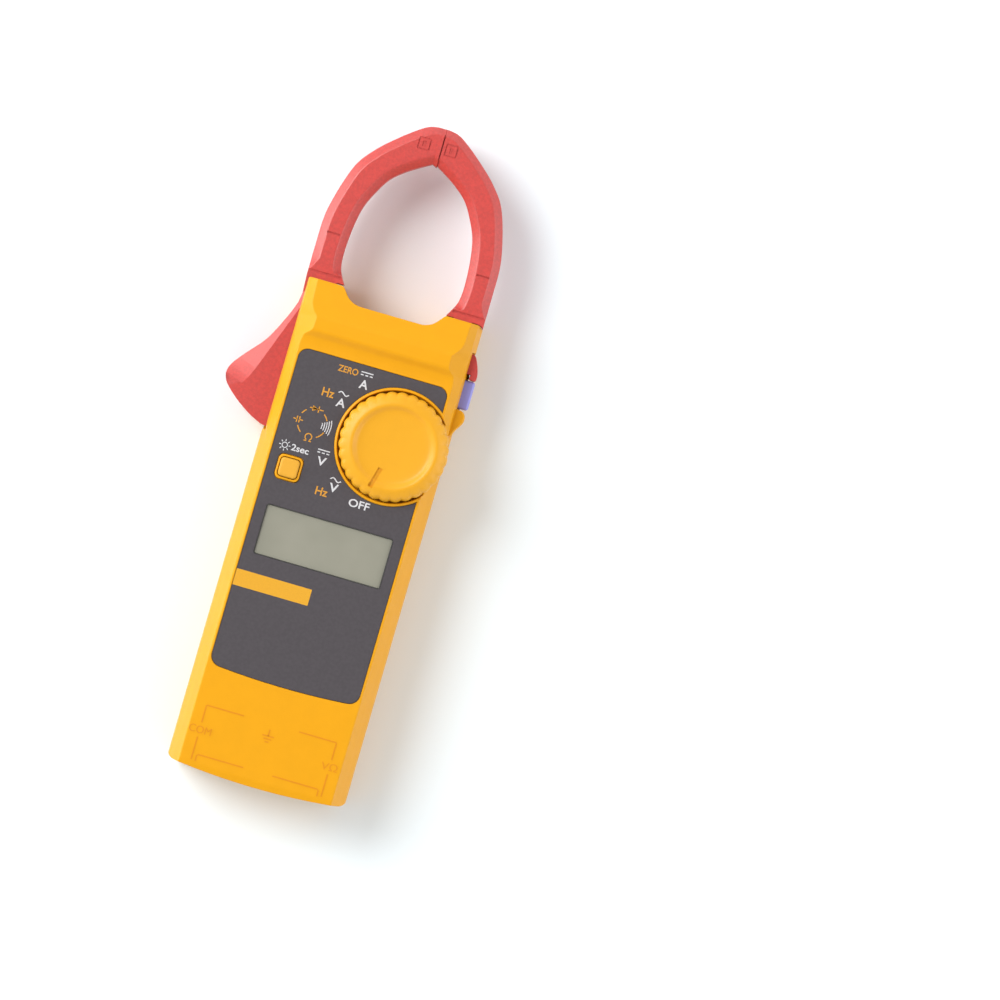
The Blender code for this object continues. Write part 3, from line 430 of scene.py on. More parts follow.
def colour_from(tree, texture, low, high, span=(0.35, 0.65)):
    """Two colours spread over a texture's values."""
    ramp = tree.nodes.new("ShaderNodeValToRGB")
    ramp.color_ramp.elements[0].position = span[0]
    ramp.color_ramp.elements[0].color = (*low, 1.0)
    ramp.color_ramp.elements[1].position = span[1]
    ramp.color_ramp.elements[1].color = (*high, 1.0)
    tree.links.new(texture.outputs["Fac"], ramp.inputs["Fac"])
    return ramp


def number_from(tree, texture, low, high):
    spread = tree.nodes.new("ShaderNodeMapRange")
    spread.inputs["From Min"].default_value = 0.3
    spread.inputs["From Max"].default_value = 0.7
    spread.inputs["To Min"].default_value = low
    spread.inputs["To Max"].default_value = high
    tree.links.new(texture.outputs["Fac"], spread.inputs["Value"])
    return spread


def bump_from(tree, shader, texture, height_mm, strength=1.0):
    bump = tree.nodes.new("ShaderNodeBump")
    bump.inputs["Distance"].default_value = height_mm * MM
    bump.inputs["Strength"].default_value = strength
    tree.links.new(texture.outputs["Fac"], bump.inputs["Height"])
    tree.links.new(bump.outputs["Normal"], shader.inputs["Normal"])
    return bump


def scaled(colour, factor):
    return tuple(min(1.0, part * factor) for part in colour)


def moulded(name, colour, roughness, grain_mm, grain_height, mottle=0.04, specular=0.5, coat=0.0,
            mottle_mm=6.0):
    """Moulded plastic: fine spark-eroded grain, faint mottling of colour and of gloss."""
    material, tree, shader = node_material(name)
    cloud = noise(tree, mottle_mm, 3.0)
    ramp = colour_from(tree, cloud, scaled(colour, 1 - mottle), scaled(colour, 1 + mottle))
    tree.links.new(ramp.outputs["Color"], shader.inputs["Base Color"])
    grain = noise(tree, grain_mm, 2.0, 0.6)
    gloss = number_from(tree, grain, roughness - 0.05, roughness + 0.07)
    tree.links.new(gloss.outputs["Result"], shader.inputs["Roughness"])
    bump_from(tree, shader, grain, grain_height)
    shader.inputs["Specular IOR Level"].default_value = specular
    shader.inputs["Coat Weight"].default_value = coat
    return material


def printed(name, colour):
    """Screen-printed ink, slightly uneven."""
    material, tree, shader = node_material(name)
    grain = noise(tree, 0.25, 3.0)
    ramp = colour_from(tree, grain, scaled(colour, 0.93), scaled(colour, 1.03))
    tree.links.new(ramp.outputs["Color"], shader.inputs["Base Color"])
    shader.inputs["Roughness"].default_value = 0.55
    return material


def metal(name, colour, roughness, streak_mm):
    """Turned or plated metal, with fine streaks."""
    material, tree, shader = node_material(name)
    streaks = noise(tree, streak_mm, 5.0, 0.7)
    ramp = colour_from(tree, streaks, scaled(colour, 0.88), scaled(colour, 1.05))
    tree.links.new(ramp.outputs["Color"], shader.inputs["Base Color"])
    gloss = number_from(tree, streaks, roughness - 0.06, roughness + 0.1)
    tree.links.new(gloss.outputs["Result"], shader.inputs["Roughness"])
    bump_from(tree, shader, streaks, 0.01)
    shader.inputs["Metallic"].default_value = 1.0
    return material


YELLOW = (0.73, 0.325, 0.004)
RED = (0.52, 0.033, 0.024)

CASE_YELLOW = moulded("case_yellow", YELLOW, 0.42, 0.22, 0.010, mottle=0.015, specular=0.22)
KNOB_YELLOW = moulded("knob_yellow", (0.735, 0.345, 0.009), 0.40, 0.18, 0.006, mottle=0.012,
                      specular=0.4)
# Darker yellow: painted shade for the engraved lines and letters on the case face.
GROOVE_SHADE_YELLOW = moulded("groove_shade_yellow", (0.66, 0.24, 0.004), 0.45, 0.2, 0.006, mottle=0.015, specular=0.3)
KEY_YELLOW = moulded("key_yellow", (0.70, 0.35, 0.030), 0.48, 0.2, 0.006, mottle=0.012, specular=0.3)
JAW_RED = moulded("jaw_red", RED, 0.42, 0.32, 0.035, mottle=0.10, specular=0.9, mottle_mm=0.8)
HOLD_VIOLET = moulded("hold_violet", (0.27, 0.265, 0.66), 0.42, 0.2, 0.006, mottle=0.02)
LABEL_GREY = moulded("label_grey", (0.066, 0.058, 0.064), 0.55, 0.45, 0.010, mottle=0.06, specular=0.3,
                     mottle_mm=0.9)
# Darker than the label grey: painted shade for the recessed edge round the display window.
EDGE_SHADE_GREY = moulded("edge_shade_grey", (0.055, 0.055, 0.052), 0.5, 0.3, 0.006, mottle=0.04)
BLACK_PLASTIC = moulded("black_plastic", (0.022, 0.022, 0.024), 0.45, 0.2, 0.008)
WHITE_PLASTIC = moulded("white_plastic", (0.78, 0.78, 0.75), 0.45, 0.2, 0.008)
BOARD_GREEN = moulded("board_green", (0.02, 0.16, 0.06), 0.4, 0.5, 0.010, mottle=0.1)
FERRITE = moulded("ferrite", (0.06, 0.06, 0.065), 0.55, 0.3, 0.02)
SILICONE = moulded("silicone", (0.55, 0.30, 0.28), 0.6, 0.3, 0.01)
BLUE_CERAMIC = moulded("blue_ceramic", (0.05, 0.16, 0.5), 0.35, 0.4, 0.01, coat=0.3)
CELL_JACKET = moulded("cell_jacket", (0.08, 0.08, 0.09), 0.35, 0.6, 0.005, coat=0.2)
STEEL = metal("steel", (0.62, 0.62, 0.64), 0.32, 0.4)
BRASS = metal("brass", (0.78, 0.58, 0.24), 0.3, 0.5)
PRINT_WHITE = printed("print_white", (0.60, 0.60, 0.62))
PRINT_ORANGE = printed("print_orange", (0.60, 0.265, 0.02))
BAND_YELLOW = printed("band_yellow", (0.68, 0.33, 0.008))


def display_material():
    """Unlit liquid crystal behind a smooth matte window."""
    material, tree, shader = node_material("display_grey")
    cloud = noise(tree, 14.0, 2.0)
    ramp = colour_from(tree, cloud, (0.255, 0.250, 0.198), (0.280, 0.272, 0.217))
    tree.links.new(ramp.outputs["Color"], shader.inputs["Base Color"])
    grain = noise(tree, 0.15, 2.0)
    bump_from(tree, shader, grain, 0.002)
    shader.inputs["Roughness"].default_value = 0.3
    shader.inputs["Coat Weight"].default_value = 0.25
    shader.inputs["Coat Roughness"].default_value = 0.12
    return material


DISPLAY_GREY = display_material()


# ---------------------------------------------------------------- case

def bottom_edge(x):
    """Y of the bowed bottom edge of the case at x."""
    return BOTTOM_CORNER_Y - BOTTOM_BOW * (1 - (x / HALF_WIDTH) ** 2)


def case_outline():
    """Plan of the case.  Its sides stand a little outside the lofts, which shape the flanks."""
    side = HALF_WIDTH + 0.3
    bow = [(x, bottom_edge(x), 0.0) for x in range(-24, 25, 3)]
    return rounded(
        [(-side, BOTTOM_CORNER_Y, 2.6)] + bow + [(side, BOTTOM_CORNER_Y, 2.6)]
        + [(side, SHOULDER_Y, 2.2), (15.9, SHOULDER_Y, 1.2), (12.3, THROAT_Y, 6.5)]
        + [(-12.3, THROAT_Y, 6.5), (-15.9, SHOULDER_Y, 1.2), (-side, SHOULDER_Y, 2.2)])


def cavity_outline():
    side = HALF_WIDTH - 1.2
    top = SHOULDER_Y - WALL
    throat = THROAT_Y - WALL
    bottom = BOTTOM_CORNER_Y + 1.3
    return [(-side, bottom), (side, bottom), (side, top), (17.0, top), (13.3, throat),
            (-13.3, throat), (-17.0, top), (-side, top)]


def face_keys():
    """(y, crease x, crease z, face half width, face z) at places along the front shell."""
    low = (25.6, 24.0)
    high = (26.2, 25.4)
    return [
        (-78.0, *low, FACE_HALF_WIDTH, FACE_Z - 1.2),
        (-73.0, *low, FACE_HALF_WIDTH, FACE_Z),
        (24.0, *low, FACE_HALF_WIDTH, FACE_Z),
        (31.0, *high, FACE_HALF_WIDTH, FACE_Z),
        (55.5, *high, FACE_HALF_WIDTH, FACE_Z),
        (58.4, *high, 23.4, FACE_Z + 0.35),
        (60.6, *high, 21.4, FACE_Z + 1.75),
        (61.4, *high, 21.1, FACE_Z + 1.9),
        (64.4, *high, 21.0, FACE_Z + 1.9),
        (66.6, *high, 22.6, FACE_Z + 1.1),
        (69.0, *high, 23.6, FACE_Z + 0.3),
        (78.0, *high, 24.0, FACE_Z - 1.6),
    ]


def shell_places():
    """Places along the front shell where its section is drawn, closer where it changes."""
    places = [-78.0, -73.0, -40.0, -10.0, 10.0, 20.0]
    places += [24.0 + 1.0 * k for k in range(8)]
    places += [38.0, 46.0, 52.0]
    places += [55.0 + 0.5 * k for k in range(28)]
    places += [69.4, 78.0]
    return places


def shell_ring(y, inset, base_z):
    """Ring of the front shell at one y, moved inwards by inset."""
    crease_x, crease_z, face_x, face_z = eased(face_keys(), y)
    half = filleted([
        (HALF_WIDTH - inset, base_z),
        (HALF_WIDTH - inset - 0.3, 18.5),
        (crease_x - inset, crease_z - inset * 0.3),
        (face_x - inset * 0.7, face_z - inset),
        (15.0, face_z - inset),
    ], (6.0, 2.0, 0.55))
    return [(x, y, z) for x, z in half] + [(-x, y, z) for x, z in reversed(half)]


def shell_loft(name, inset, base_z):
    return loft(name, [shell_ring(y, inset, base_z) for y in shell_places()])


def side_openings(tag):
    """Openings of the case for both jaws, the trigger, the side bump, the hold key and the sockets."""
    _, key_y, key_z = HOLD_KEY
    return [
        prism("jaw_slot_" + tag, [(-31.0, 28.2), (-22.0, 28.2), (-22.0, 72.0), (-17.7, 72.0),
                                  (-17.7, 80.0), (-31.0, 80.0)], *JAW_SLOT_Z),
        box("right_shoulder_" + tag, (17.7, 24.6), (72.0, 80.0), JAW_SLOT_Z),
        box("bump_slot_" + tag, (23.0, 31.0), (60.4, 67.4), JAW_SLOT_Z),
        box("hold_slot_" + tag, (23.0, 31.0), (key_y - 4.6, key_y + 4.6),
            (key_z - 3.9, key_z + 3.9)),
        lathe("com_hole_" + tag, SOCKET_HOLE, (-SOCKET_X, SOCKET_Z), 64, "Y"),
        lathe("volt_hole_" + tag, SOCKET_HOLE, (SOCKET_X, SOCKET_Z), 64, "Y"),
    ]


def guard_outline():
    """Thumb guard that stands out of the right flank below the hold key."""
    outer = smooth_through([(27.4, 41.6), (28.1, 43.6), (29.2, 45.3), (29.85, 46.8), (29.75, 48.3),
                            (29.1, 49.3), (28.2, 49.75), (27.4, 49.8)], 5)
    return outer + [(26.2, 49.8), (26.2, 41.3)]


def guard(name, low, high, rim, rim_side):
    """Thumb guard; its outline is drawn in towards the outer rim, but not at its foot."""
    rings = []
    levels = [(low, 0.0), (high, 0.0)]
    steps = [(rim_side * 0.4, 0.08), (rim_side * 0.7, 0.22), (rim_side * 0.95, 0.5)]
    rounded_rim = [(rim + rise, drawn) for rise, drawn in steps]
    levels = levels + rounded_rim if rim_side > 0 else rounded_rim[::-1] + levels
    for z, drawn in levels:
        rings.append([(x - drawn * min(1.0, max(0.0, x - 26.2)), y, z) for x, y in guard_outline()])
    return loft(name, rings)


def by_the_screws(point):
    """The mouths of the case screws' bores, which have their own chamfer."""
    near = [(Vector(spot) - point.xy).length < 4.0 for spot in CASE_SCREWS]
    return by_the_guard(point) or (point.z < 3.5 and any(near))


def label_outline(grow):
    half = LABEL_HALF_WIDTH + grow
    bow = [(x, LABEL_BOTTOM - 1.1 * (1 - (x / half) ** 2) - grow, 0.0) for x in range(-18, 19, 3)]
    return rounded([(-half, LABEL_BOTTOM - grow, 3.4)] + bow + [(half, LABEL_BOTTOM - grow, 3.4)]
                   + [(half, LABEL_TOP + grow, 3.0), (-half, LABEL_TOP + grow, 3.0)])


def rim(name, outer, inner, top, base, radius=0.3):
    """Turned ring with a rounded top, around the dial."""
    return lathe(name, [(inner, base), (outer, base), (outer, top - radius - 0.2),
                        (outer - 0.1, top - 0.25), (outer - 0.25, top - 0.1),
                        (inner + 0.25, top), (inner + 0.1, top - 0.06), (inner, top - 0.2)], DIAL, 144)


def front_case():
    shell = shell_loft("front_case", 0.0, FRONT_SEAM)
    keep_inside(shell, prism("front_plan", case_outline(), 0.0, 45.0))
    join(shell, guard("front_guard", FRONT_SEAM + 0.05, 22.2, 22.2, 1))
    hollow = shell_loft("front_hollow", WALL, FRONT_SEAM - 3.0)
    keep_inside(hollow, prism("front_cavity", cavity_outline(), -5.0, 45.0))
    cut(hollow, lathe("knob_floor", [(0, 25.4), (18.6, 25.4), (18.6, 45.0), (0, 45.0)], DIAL))
    cut(shell, hollow)
    cut(shell, *side_openings("front"))
    cut(shell, prism("label_recess", label_outline(0.12), LABEL_LOW.z - 0.3, 40.0))
    ring = rim("dial_ring", RING_RADII[1] + 0.25, RING_RADII[0], FACE_Z + 0.6, 26.0)
    cut(ring, box("ring_end", (24.0, 40.0), (0.0, 60.0), (20.0, 40.0)))
    bezel = layered("key_bezel", square(BUTTON_CENTRE, BEZEL_SIZE, 1.6),
                    [(27.0, 0.0), (FACE_Z - 0.05, 0.0), (FACE_Z + 0.15, 0.06), (FACE_Z + 0.3, 0.25)])
    join(shell, ring, bezel)
    pocket = lathe("knob_pocket", [(0, KNOB_BASE - 0.4), (RING_RADII[0] - 0.05, KNOB_BASE - 0.4),
                                   (RING_RADII[0] - 0.05, 45.0), (0, 45.0)], DIAL, 144)
    window = prism("window_hole", rectangle(WINDOW_LOW.x - FIT, WINDOW_HIGH.x + FIT,
                                            WINDOW_LOW.y - FIT, WINDOW_HIGH.y + FIT, 0.8), 20.0, 40.0)
    keyhole = prism("key_hole", square(BUTTON_CENTRE, BUTTON_SIZE + 0.4, 1.25), 20.0, 40.0)
    stem = lathe("stem_hole", [(0, 20.0), (4.35, 20.0), (4.35, 40.0), (0, 40.0)], DIAL, 48)
    cut(shell, pocket, window, keyhole, stem)
    soften(shell, 0.12, keep_sharp=by_the_guard)
    add_piece(shell, "case", CASE_YELLOW, ["front_shell"])


def rear_section(inset):
    """Cross-section of the rear shell as (x, z), moved inwards by inset."""
    floor = REAR_WALL if inset else 0.0
    top = REAR_SEAM + (3.0 if inset else 0.0)
    half = filleted([
        (HALF_WIDTH - inset, top),
        (HALF_WIDTH - inset, 7.0),
        (26.9 - inset, 3.6 + floor * 0.5),
        (25.2 - inset, 1.1 + floor * 0.9),
        (23.0 - inset, floor),
        (15.0, floor),
    ], (5.0, 3.5, 3.0, 3.0))
    return half + [(-x, z) for x, z in reversed(half)]


def rear_case():
    shell = prism_along_y("rear_case", rear_section(0.0), -78.0, 78.0)
    keep_inside(shell, prism("rear_plan", case_outline(), -5.0, 45.0))
    join(shell, guard("rear_guard", 9.9, REAR_SEAM - 0.05, 9.9, -1))
    hollow = prism_along_y("rear_hollow", rear_section(WALL), -78.0, 78.0)
    keep_inside(hollow, prism("rear_cavity", cavity_outline(), -5.0, 45.0))
    cut(hollow, box("battery_walls", (-13.8, 13.8), (-66.4, -12.4), (-1.0, 15.3)))
    cut(shell, hollow)
    cut(shell, box("battery_hollow", (-12.0, 12.0), (-64.6, -14.2), (-1.0, 14.0)))
    cut(shell, prism("cover_rebate", rectangle(-14.5, 14.5, -66.5, -8.2, 1.5), -1.0, 1.7))
    bosses = []
    bores = []
    for i, spot in enumerate(CASE_SCREWS):
        bosses.append(lathe(f"boss_{i}", [(0, 1.0), (4.0, 1.0), (4.0, 14.9), (0, 14.9)], spot, 36))
        bores.append(lathe(f"bore_{i}", [(0, -1.0), (3.25, -1.0), (3.25, 0.0), (3.0, 0.25), (3.0, 8.5),
                                         (1.7, 8.5), (1.7, 20.0), (0, 20.0)], spot, 40))
    bosses.append(lathe("cover_boss", [(0, 2.0), (2.8, 2.0), (2.8, 9.0), (0, 9.0)], COVER_SCREW, 32))
    bores.append(lathe("cover_pilot", [(0, -1.0), (1.35, -1.0), (1.35, 8.0), (0, 8.0)],
                       COVER_SCREW, 24))
    join(shell, *bosses)
    cut(shell, *bores)
    cut(shell, *side_openings("rear"))
    soften(shell, 0.3, keep_sharp=by_the_screws)
    add_piece(shell, "case", CASE_YELLOW, ["rear_shell"])


def panel_label():
    label = layered("panel_label", label_outline(0.0),
                    [(LABEL_LOW.z, 0.0), (LABEL_HIGH.z - 0.08, 0.0), (LABEL_HIGH.z, 0.1)])
    dial = lathe("label_dial_hole", [(0, 20.0), (RING_RADII[1] + FIT, 20.0),
                                     (RING_RADII[1] + FIT, 40.0), (0, 40.0)], DIAL, 144)
    window = layered("label_window_hole",
                     rectangle(WINDOW_LOW.x, WINDOW_HIGH.x, WINDOW_LOW.y, WINDOW_HIGH.y, 0.8),
                     [(LABEL_LOW.z - 1.0, 0.0), (LABEL_HIGH.z + 1.0, 0.0)])
    keyhole = prism("label_key_hole", square(BUTTON_CENTRE, BEZEL_SIZE + 0.5, 1.85), 20.0, 40.0)
    cut(label, dial, window, keyhole)
    add_piece(label, "case", LABEL_GREY, ["front_label"])


def window_surround():
    """Sloped edge of the label film down to the window, in a darker grey than the label that paints the
    shade of the window's recessed edge.
    """
    outer = rectangle(WINDOW_LOW.x + 0.1, WINDOW_HIGH.x - 0.1, WINDOW_LOW.y + 0.1,
                      WINDOW_HIGH.y - 0.1, 0.7)
    frame_piece = layered("window_surround", outer,
                          [(WINDOW_HIGH.z + 0.02, 0.0), (LABEL_HIGH.z - 0.02, 0.0),
                           (LABEL_HIGH.z - 0.02, 0.1), (WINDOW_HIGH.z + 0.12, 0.26)])
    opening = prism("surround_opening", rectangle(WINDOW_LOW.x + 0.35, WINDOW_HIGH.x - 0.35,
                                                  WINDOW_LOW.y + 0.35, WINDOW_HIGH.y - 0.35, 0.35),
                    20.0, 40.0)
    cut(frame_piece, opening)
    add_piece(frame_piece, "case", EDGE_SHADE_GREY)


def window_pane():
    pane = layered("window_pane", rectangle(WINDOW_LOW.x, WINDOW_HIGH.x, WINDOW_LOW.y,
                                            WINDOW_HIGH.y, 0.5),
                   [(WINDOW_LOW.z, 0.0), (WINDOW_HIGH.z - 0.2, 0.0), (WINDOW_HIGH.z, 0.2)])
    add_piece(pane, "case", DISPLAY_GREY, ["display_window"])


# ---------------------------------------------------------------- dial and keys

def knob_profile():
    """(radius, height, depth of the notches) from the middle of the base to the middle of the dish."""
    base, top = KNOB_BASE, KNOB_HIGH.z
    return [
        (6.0, base, 0.0), (16.2, base, 0.1), (16.5, base + 0.15, 0.25), (16.55, base + 0.6, 0.4),
        (16.55, base + 1.2, 0.48), (16.55, base + 2.0, 0.52), (16.53, base + 3.2, 0.52),
        (16.45, base + 3.8, 0.52), (16.25, base + 4.3, 0.5), (15.9, base + 4.8, 0.44),
        (15.4, base + 5.2, 0.32), (14.85, base + 5.5, 0.18), (14.2, base + 5.78, 0.05),
        (13.7, top - 0.22, 0.0), (13.3, top - 0.07, 0.0), (12.9, top, 0.0), (12.55, top - 0.02, 0.0),
        (12.2, top - 0.12, 0.0), (11.85, top - 0.34, 0.0), (11.5, top - 0.62, 0.0),
        (11.15, top - 0.86, 0.0), (10.8, top - 1.0, 0.0), (10.3, top - 1.09, 0.0),
        (9.3, top - 1.15, 0.0), (7.0, top - 1.22, 0.0), (3.5, top - 1.3, 0.0), (1.0, top - 1.32, 0.0),
    ]


def pointer_groove():
    """Groove towards OFF whose floor follows the dish and climbs over the rim."""
    way = Vector((cos(radians(OFF_ANGLE)), sin(radians(OFF_ANGLE))))
    side = Vector((-way.y, way.x))
    top = KNOB_HIGH.z
    floor = []
    lid = []
    for reach, climb in ((7.4, 0.0), (9.5, 0.02), (10.6, 0.1), (11.3, 0.35), (12.0, 0.8), (12.6, 1.0),
                         (13.2, 1.05), (13.8, 0.85)):
        for across in (-0.7, 0.7):
            spot = Vector(DIAL) + way * reach + side * across
            floor.append((spot.x, spot.y, top - 1.72 + climb))
            lid.append((spot.x, spot.y, top + 2.0))
    work = bmesh.new()
    low = [work.verts.new(Vector(point) * MM) for point in floor]
    high = [work.verts.new(Vector(point) * MM) for point in lid]
    last = len(low) - 2
    for k in range(0, last, 2):
        work.faces.new((low[k], low[k + 1], low[k + 3], low[k + 2]))
        work.faces.new((high[k], high[k + 2], high[k + 3], high[k + 1]))
        work.faces.new((low[k], low[k + 2], high[k + 2], high[k]))
        work.faces.new((low[k + 1], high[k + 1], high[k + 3], low[k + 3]))
    work.faces.new((low[0], high[0], high[1], low[1]))
    work.faces.new((low[last], low[last + 1], high[last + 1], high[last]))
    return new_object("pointer_groove", work)


def dial_knob():
    rings = []
    columns = KNOB_LOBES * 12
    for radius, z, depth in knob_profile():
        ring = []
        for k in range(columns):
            angle = 2 * pi * k / columns
            r = radius - depth * (1 - abs(cos(angle * KNOB_LOBES / 2))) ** 1.1
            ring.append((DIAL[0] + r * cos(angle), DIAL[1] + r * sin(angle), z))
        rings.append(ring)
    knob = loft("dial_knob", rings)
    cut(knob, pointer_groove())
    add_piece(knob, "dial", KNOB_YELLOW, ["rotary_knob"], angle=50.0)


def keys():
    cap = layered("backlight_keycap", square(BUTTON_CENTRE, BUTTON_SIZE, 1.1),
                  [(KEY_LOW.z + 1.3, 0.0), (KEY_HIGH.z - 0.75, 0.0), (KEY_HIGH.z - 0.45, 0.05),
                   (KEY_HIGH.z - 0.24, 0.15), (KEY_HIGH.z - 0.1, 0.32), (KEY_HIGH.z - 0.02, 0.55),
                   (KEY_HIGH.z, 0.8)])
    flange = soft_box("key_flange", (BUTTON_CENTRE[0] - 4.0, BUTTON_CENTRE[0] + 4.0),
                      (BUTTON_CENTRE[1] - 4.0, BUTTON_CENTRE[1] + 4.0), (KEY_LOW.z, 26.4), 0.2, 2)
    join(cap, flange)
    add_piece(cap, "backlight_key", KEY_YELLOW, ["backlight_button"])
    x, y, z = HOLD_KEY
    hold = soft_box("hold_keycap", (x, HOLD_HIGH.x), (y - 4.4, y + 4.4), (z - 3.7, z + 3.7), 0.8)
    join(hold, soft_box("hold_flange", (x - 0.7, x + 0.2), (y - 5.3, y + 5.3), (z - 4.6, z + 4.4),
                        0.15, 2))
    add_piece(hold, "hold_key", HOLD_VIOLET, ["hold_button"])


# ---------------------------------------------------------------- jaws

def jaw_outer(base):
    """Outer edge of the right jaw, from its base up to the flat top."""
    side = smooth_through([(27.6, 86.0), (27.1, 96.7), (23.3, 110.3), (18.6, 117.3),
                           (12.2, 123.3), (7.2, 127.2), (4.6, 128.75), (2.0, 129.35), (0.0, 129.4)], 9)
    return [(27.6, base), (27.6, 77.6), (27.6, 79.0), (27.6, 82.0)] + side


def jaw_inner(base):
    """Inner edge of the right jaw, from its base up to the apex of the opening."""
    side = smooth_through([(17.2, 78.3), (18.35, 81.0), (18.75, 86.0), (18.2, 94.0), (16.9, 100.5),
                           (14.5, 105.8), (11.7, 110.3), (7.5, 114.0), (2.6, 117.1)], 8)
    return [(15.9, base)] + side + [(0.6, 118.25)]


def fixed_jaw_outline():
    """Right jaw, its side bump and the bridge behind the throat, to a concave end by the hub."""
    hub_end = arc(PIVOT, HUB_RADIUS + 0.4, 43.0, -25.0, 18)
    bump = [(24.1, 60.8), (27.9, 60.8)] + smooth_through(
        [(27.64, 59.5), (28.4, 59.2), (29.6, 59.25), (29.98, 60.2), (29.75, 62.2), (29.0, 64.4),
         (28.1, 66.3), (27.3, 67.0)], 4) + [(24.1, 67.0)]
    return (hub_end + [(22.4, 58.0), (22.4, 60.8)] + bump + [(24.1, 75.9),
                        (25.8, 75.88), (26.8, 75.6), (27.35, 75.2)] + jaw_outer(74.85)
            + [(-4.0, 129.4), (-4.0, 116.2)] + jaw_inner(75.9)[::-1]
            + [(18.1, 75.9), (18.1, 73.4), (14.0, 68.6), (-12.7, 68.6)])


def moving_jaw_outline():
    """Left jaw, the hub around the pivot and the trigger that sticks out of the left flank."""
    trigger = smooth_through([(-27.7, 67.5), (-29.6, 62.5), (-33.6, 54.5), (-38.6, 48.5),
                              (-41.6, 44.6), (-42.6, 41.9), (-42.2, 39.6), (-40.9, 37.7),
                              (-37.6, 34.7), (-32.6, 31.3), (-28.4, 29.3)], 7)
    trigger += [(-26.6, 29.0), (-25.4, 30.2), (-23.6, 44.0)]
    hub = arc(PIVOT, HUB_RADIUS, -74.0, 41.0, 30)
    throat_side = [(-15.3, 70.6), (-18.1, 73.3), (-18.1, JAW_BASE_Y)]
    return ([(5.0, 129.4)] + mirrored(jaw_outer(JAW_BASE_Y))
            + [(-27.3, 70.5)] + trigger + hub + throat_side
            + [(-x, y) for x, y in jaw_inner(JAW_BASE_Y)] + [(5.0, 115.6)])


def chamfer_share(x, y):
    """The wide chamfer is on the ring of the jaw only; below it the edges are just broken."""
    t = min(1.0, max(0.0, (y - 78.3) / 1.6))
    return 0.04 + 0.96 * t * t * (3 - 2 * t)


def jaw_levels(front):
    """(z, inset) levels of one half of the jaw, from the seam to the outer face."""
    steps = [(0.0, 0.15), (0.2, 0.0), (4.85, 0.0), (5.05, 0.04), (5.25, 0.18), (7.12, 2.1),
             (7.27, 2.32), (7.35, 2.65)]
    if front:
        return [(JAW_SEAM[1] + rise, inset) for rise, inset in steps]
    return [(JAW_SEAM[0] - rise, inset) for rise, inset in steps]


def band(path, width):
    """Closed outline of a strip of the given width along a path."""
    left = []
    right = []
    for i, point in enumerate(path):
        before = Vector(path[max(i - 1, 0)])
        after = Vector(path[min(i + 1, len(path) - 1)])
        along = (after - before).normalized()
        side = Vector((-along.y, along.x)) * width / 2
        left.append(tuple(Vector(point) + side))
        right.append(tuple(Vector(point) - side))
    return left + right[::-1]


def core_path(side):
    """Centre line of the hollow for the core, from the split round to the foot of the jaw."""
    path = smooth_through([(5.2, 122.4), (11.4, 117.7), (19.0, 107.7), (22.5, 97.0), (23.2, 89.0),
                           (22.8, 81.0), (21.9, 75.0)], 3)
    return [(-4.0, 124.0), (0.5, 124.0)] + path if side > 0 else [
        (4.0, 124.0), (0.5, 124.0)] + [(-x, y) for x, y in path]


def tip_square(name, centre, low, high):
    """Engraved square with a smaller one inside it."""
    frame_cut = prism(name, square(centre, 3.8, 0.35), low, high)
    cut(frame_cut, prism(name + "_inside", square(centre, 3.05, 0.25), low - 1.0, high + 1.0))
    return frame_cut


def jaw_marks(side):
    """Base groove, centre tick and tip squares engraved in the front face of one jaw."""
    top = JAW_HIGH.z
    centre = (3.75, 123.5) if side > 0 else (-4.6, 123.5)
    base = sorted((side * 17.4, side * 28.5))
    tick = sorted((side * 21.3, side * 25.2))
    return [
        box("base_groove", base, (77.45, 78.15), (top - 0.5, top + 5.0)),
        box("centre_tick", tick, (89.85, 90.35), (top - 0.5, top + 5.0)),
        box("split_groove", (SPLIT_X - 0.22, SPLIT_X + 0.22), (115.0, 135.0), (top - 0.6, top + 5.0)),
        tip_square("tip_square", centre, top - 0.3, top + 5.0),
        prism("tip_core", rectangle(centre[0] - 0.55, centre[0] + 0.55, centre[1] - 0.8,
                                    centre[1] + 0.8, 0.2), top - 0.25, top + 5.0),
    ]


def facet_cutter():
    """Wedge that slopes the outer upper edge of the trigger on the front."""
    start = Vector((-27.9, 62.8))
    end = Vector((-36.0, 40.4))
    along = (end - start).normalized()
    outward = Vector((along.y, -along.x))
    height = JAW_HIGH.z
    rings = []
    for reach, lift in ((-8.0, 0.0), (19.0, 0.0), (22.5, 0.8), (25.0, 2.2), (28.0, 5.5), (30.0, 9.0)):
        inner = start + along * reach
        outer = inner + outward * 20.0
        rings.append([(inner.x, inner.y, height + lift * 0.2),
                      (outer.x, outer.y, height - 16.0 + lift * 2.0),
                      (outer.x, outer.y, height + 15.0), (inner.x, inner.y, height + 15.0)])
    return loft("trigger_facet", rings)


def jaw_half(name, side, front):
    outline = fixed_jaw_outline() if side > 0 else moving_jaw_outline()
    half = layered(name, outline, jaw_levels(front), chamfer_share)
    if side > 0:
        split = box("split", (-20.0, SPLIT_X + SPLIT_GAP), (100.0, 140.0), (0.0, 40.0))
    else:
        split = box("split", (SPLIT_X - SPLIT_GAP, 20.0), (100.0, 140.0), (0.0, 40.0))
    channel = prism("channel", band(core_path(side), CORE_WIDTH + 2 * CORE_FIT),
                    CORE_Z[0] - CORE_FIT, CORE_Z[1] + CORE_FIT)
    cut(half, split, channel)
    if side < 0:
        pin = lathe("pin_hole", [(0, 0.0), (1.85, 0.0), (1.85, 40.0), (0, 40.0)], PIVOT, 40)
        cut(half, pin)
    if side < 0 and front:
        cut(half, facet_cutter())
    if front:
        cut(half, *jaw_marks(side))
    return half


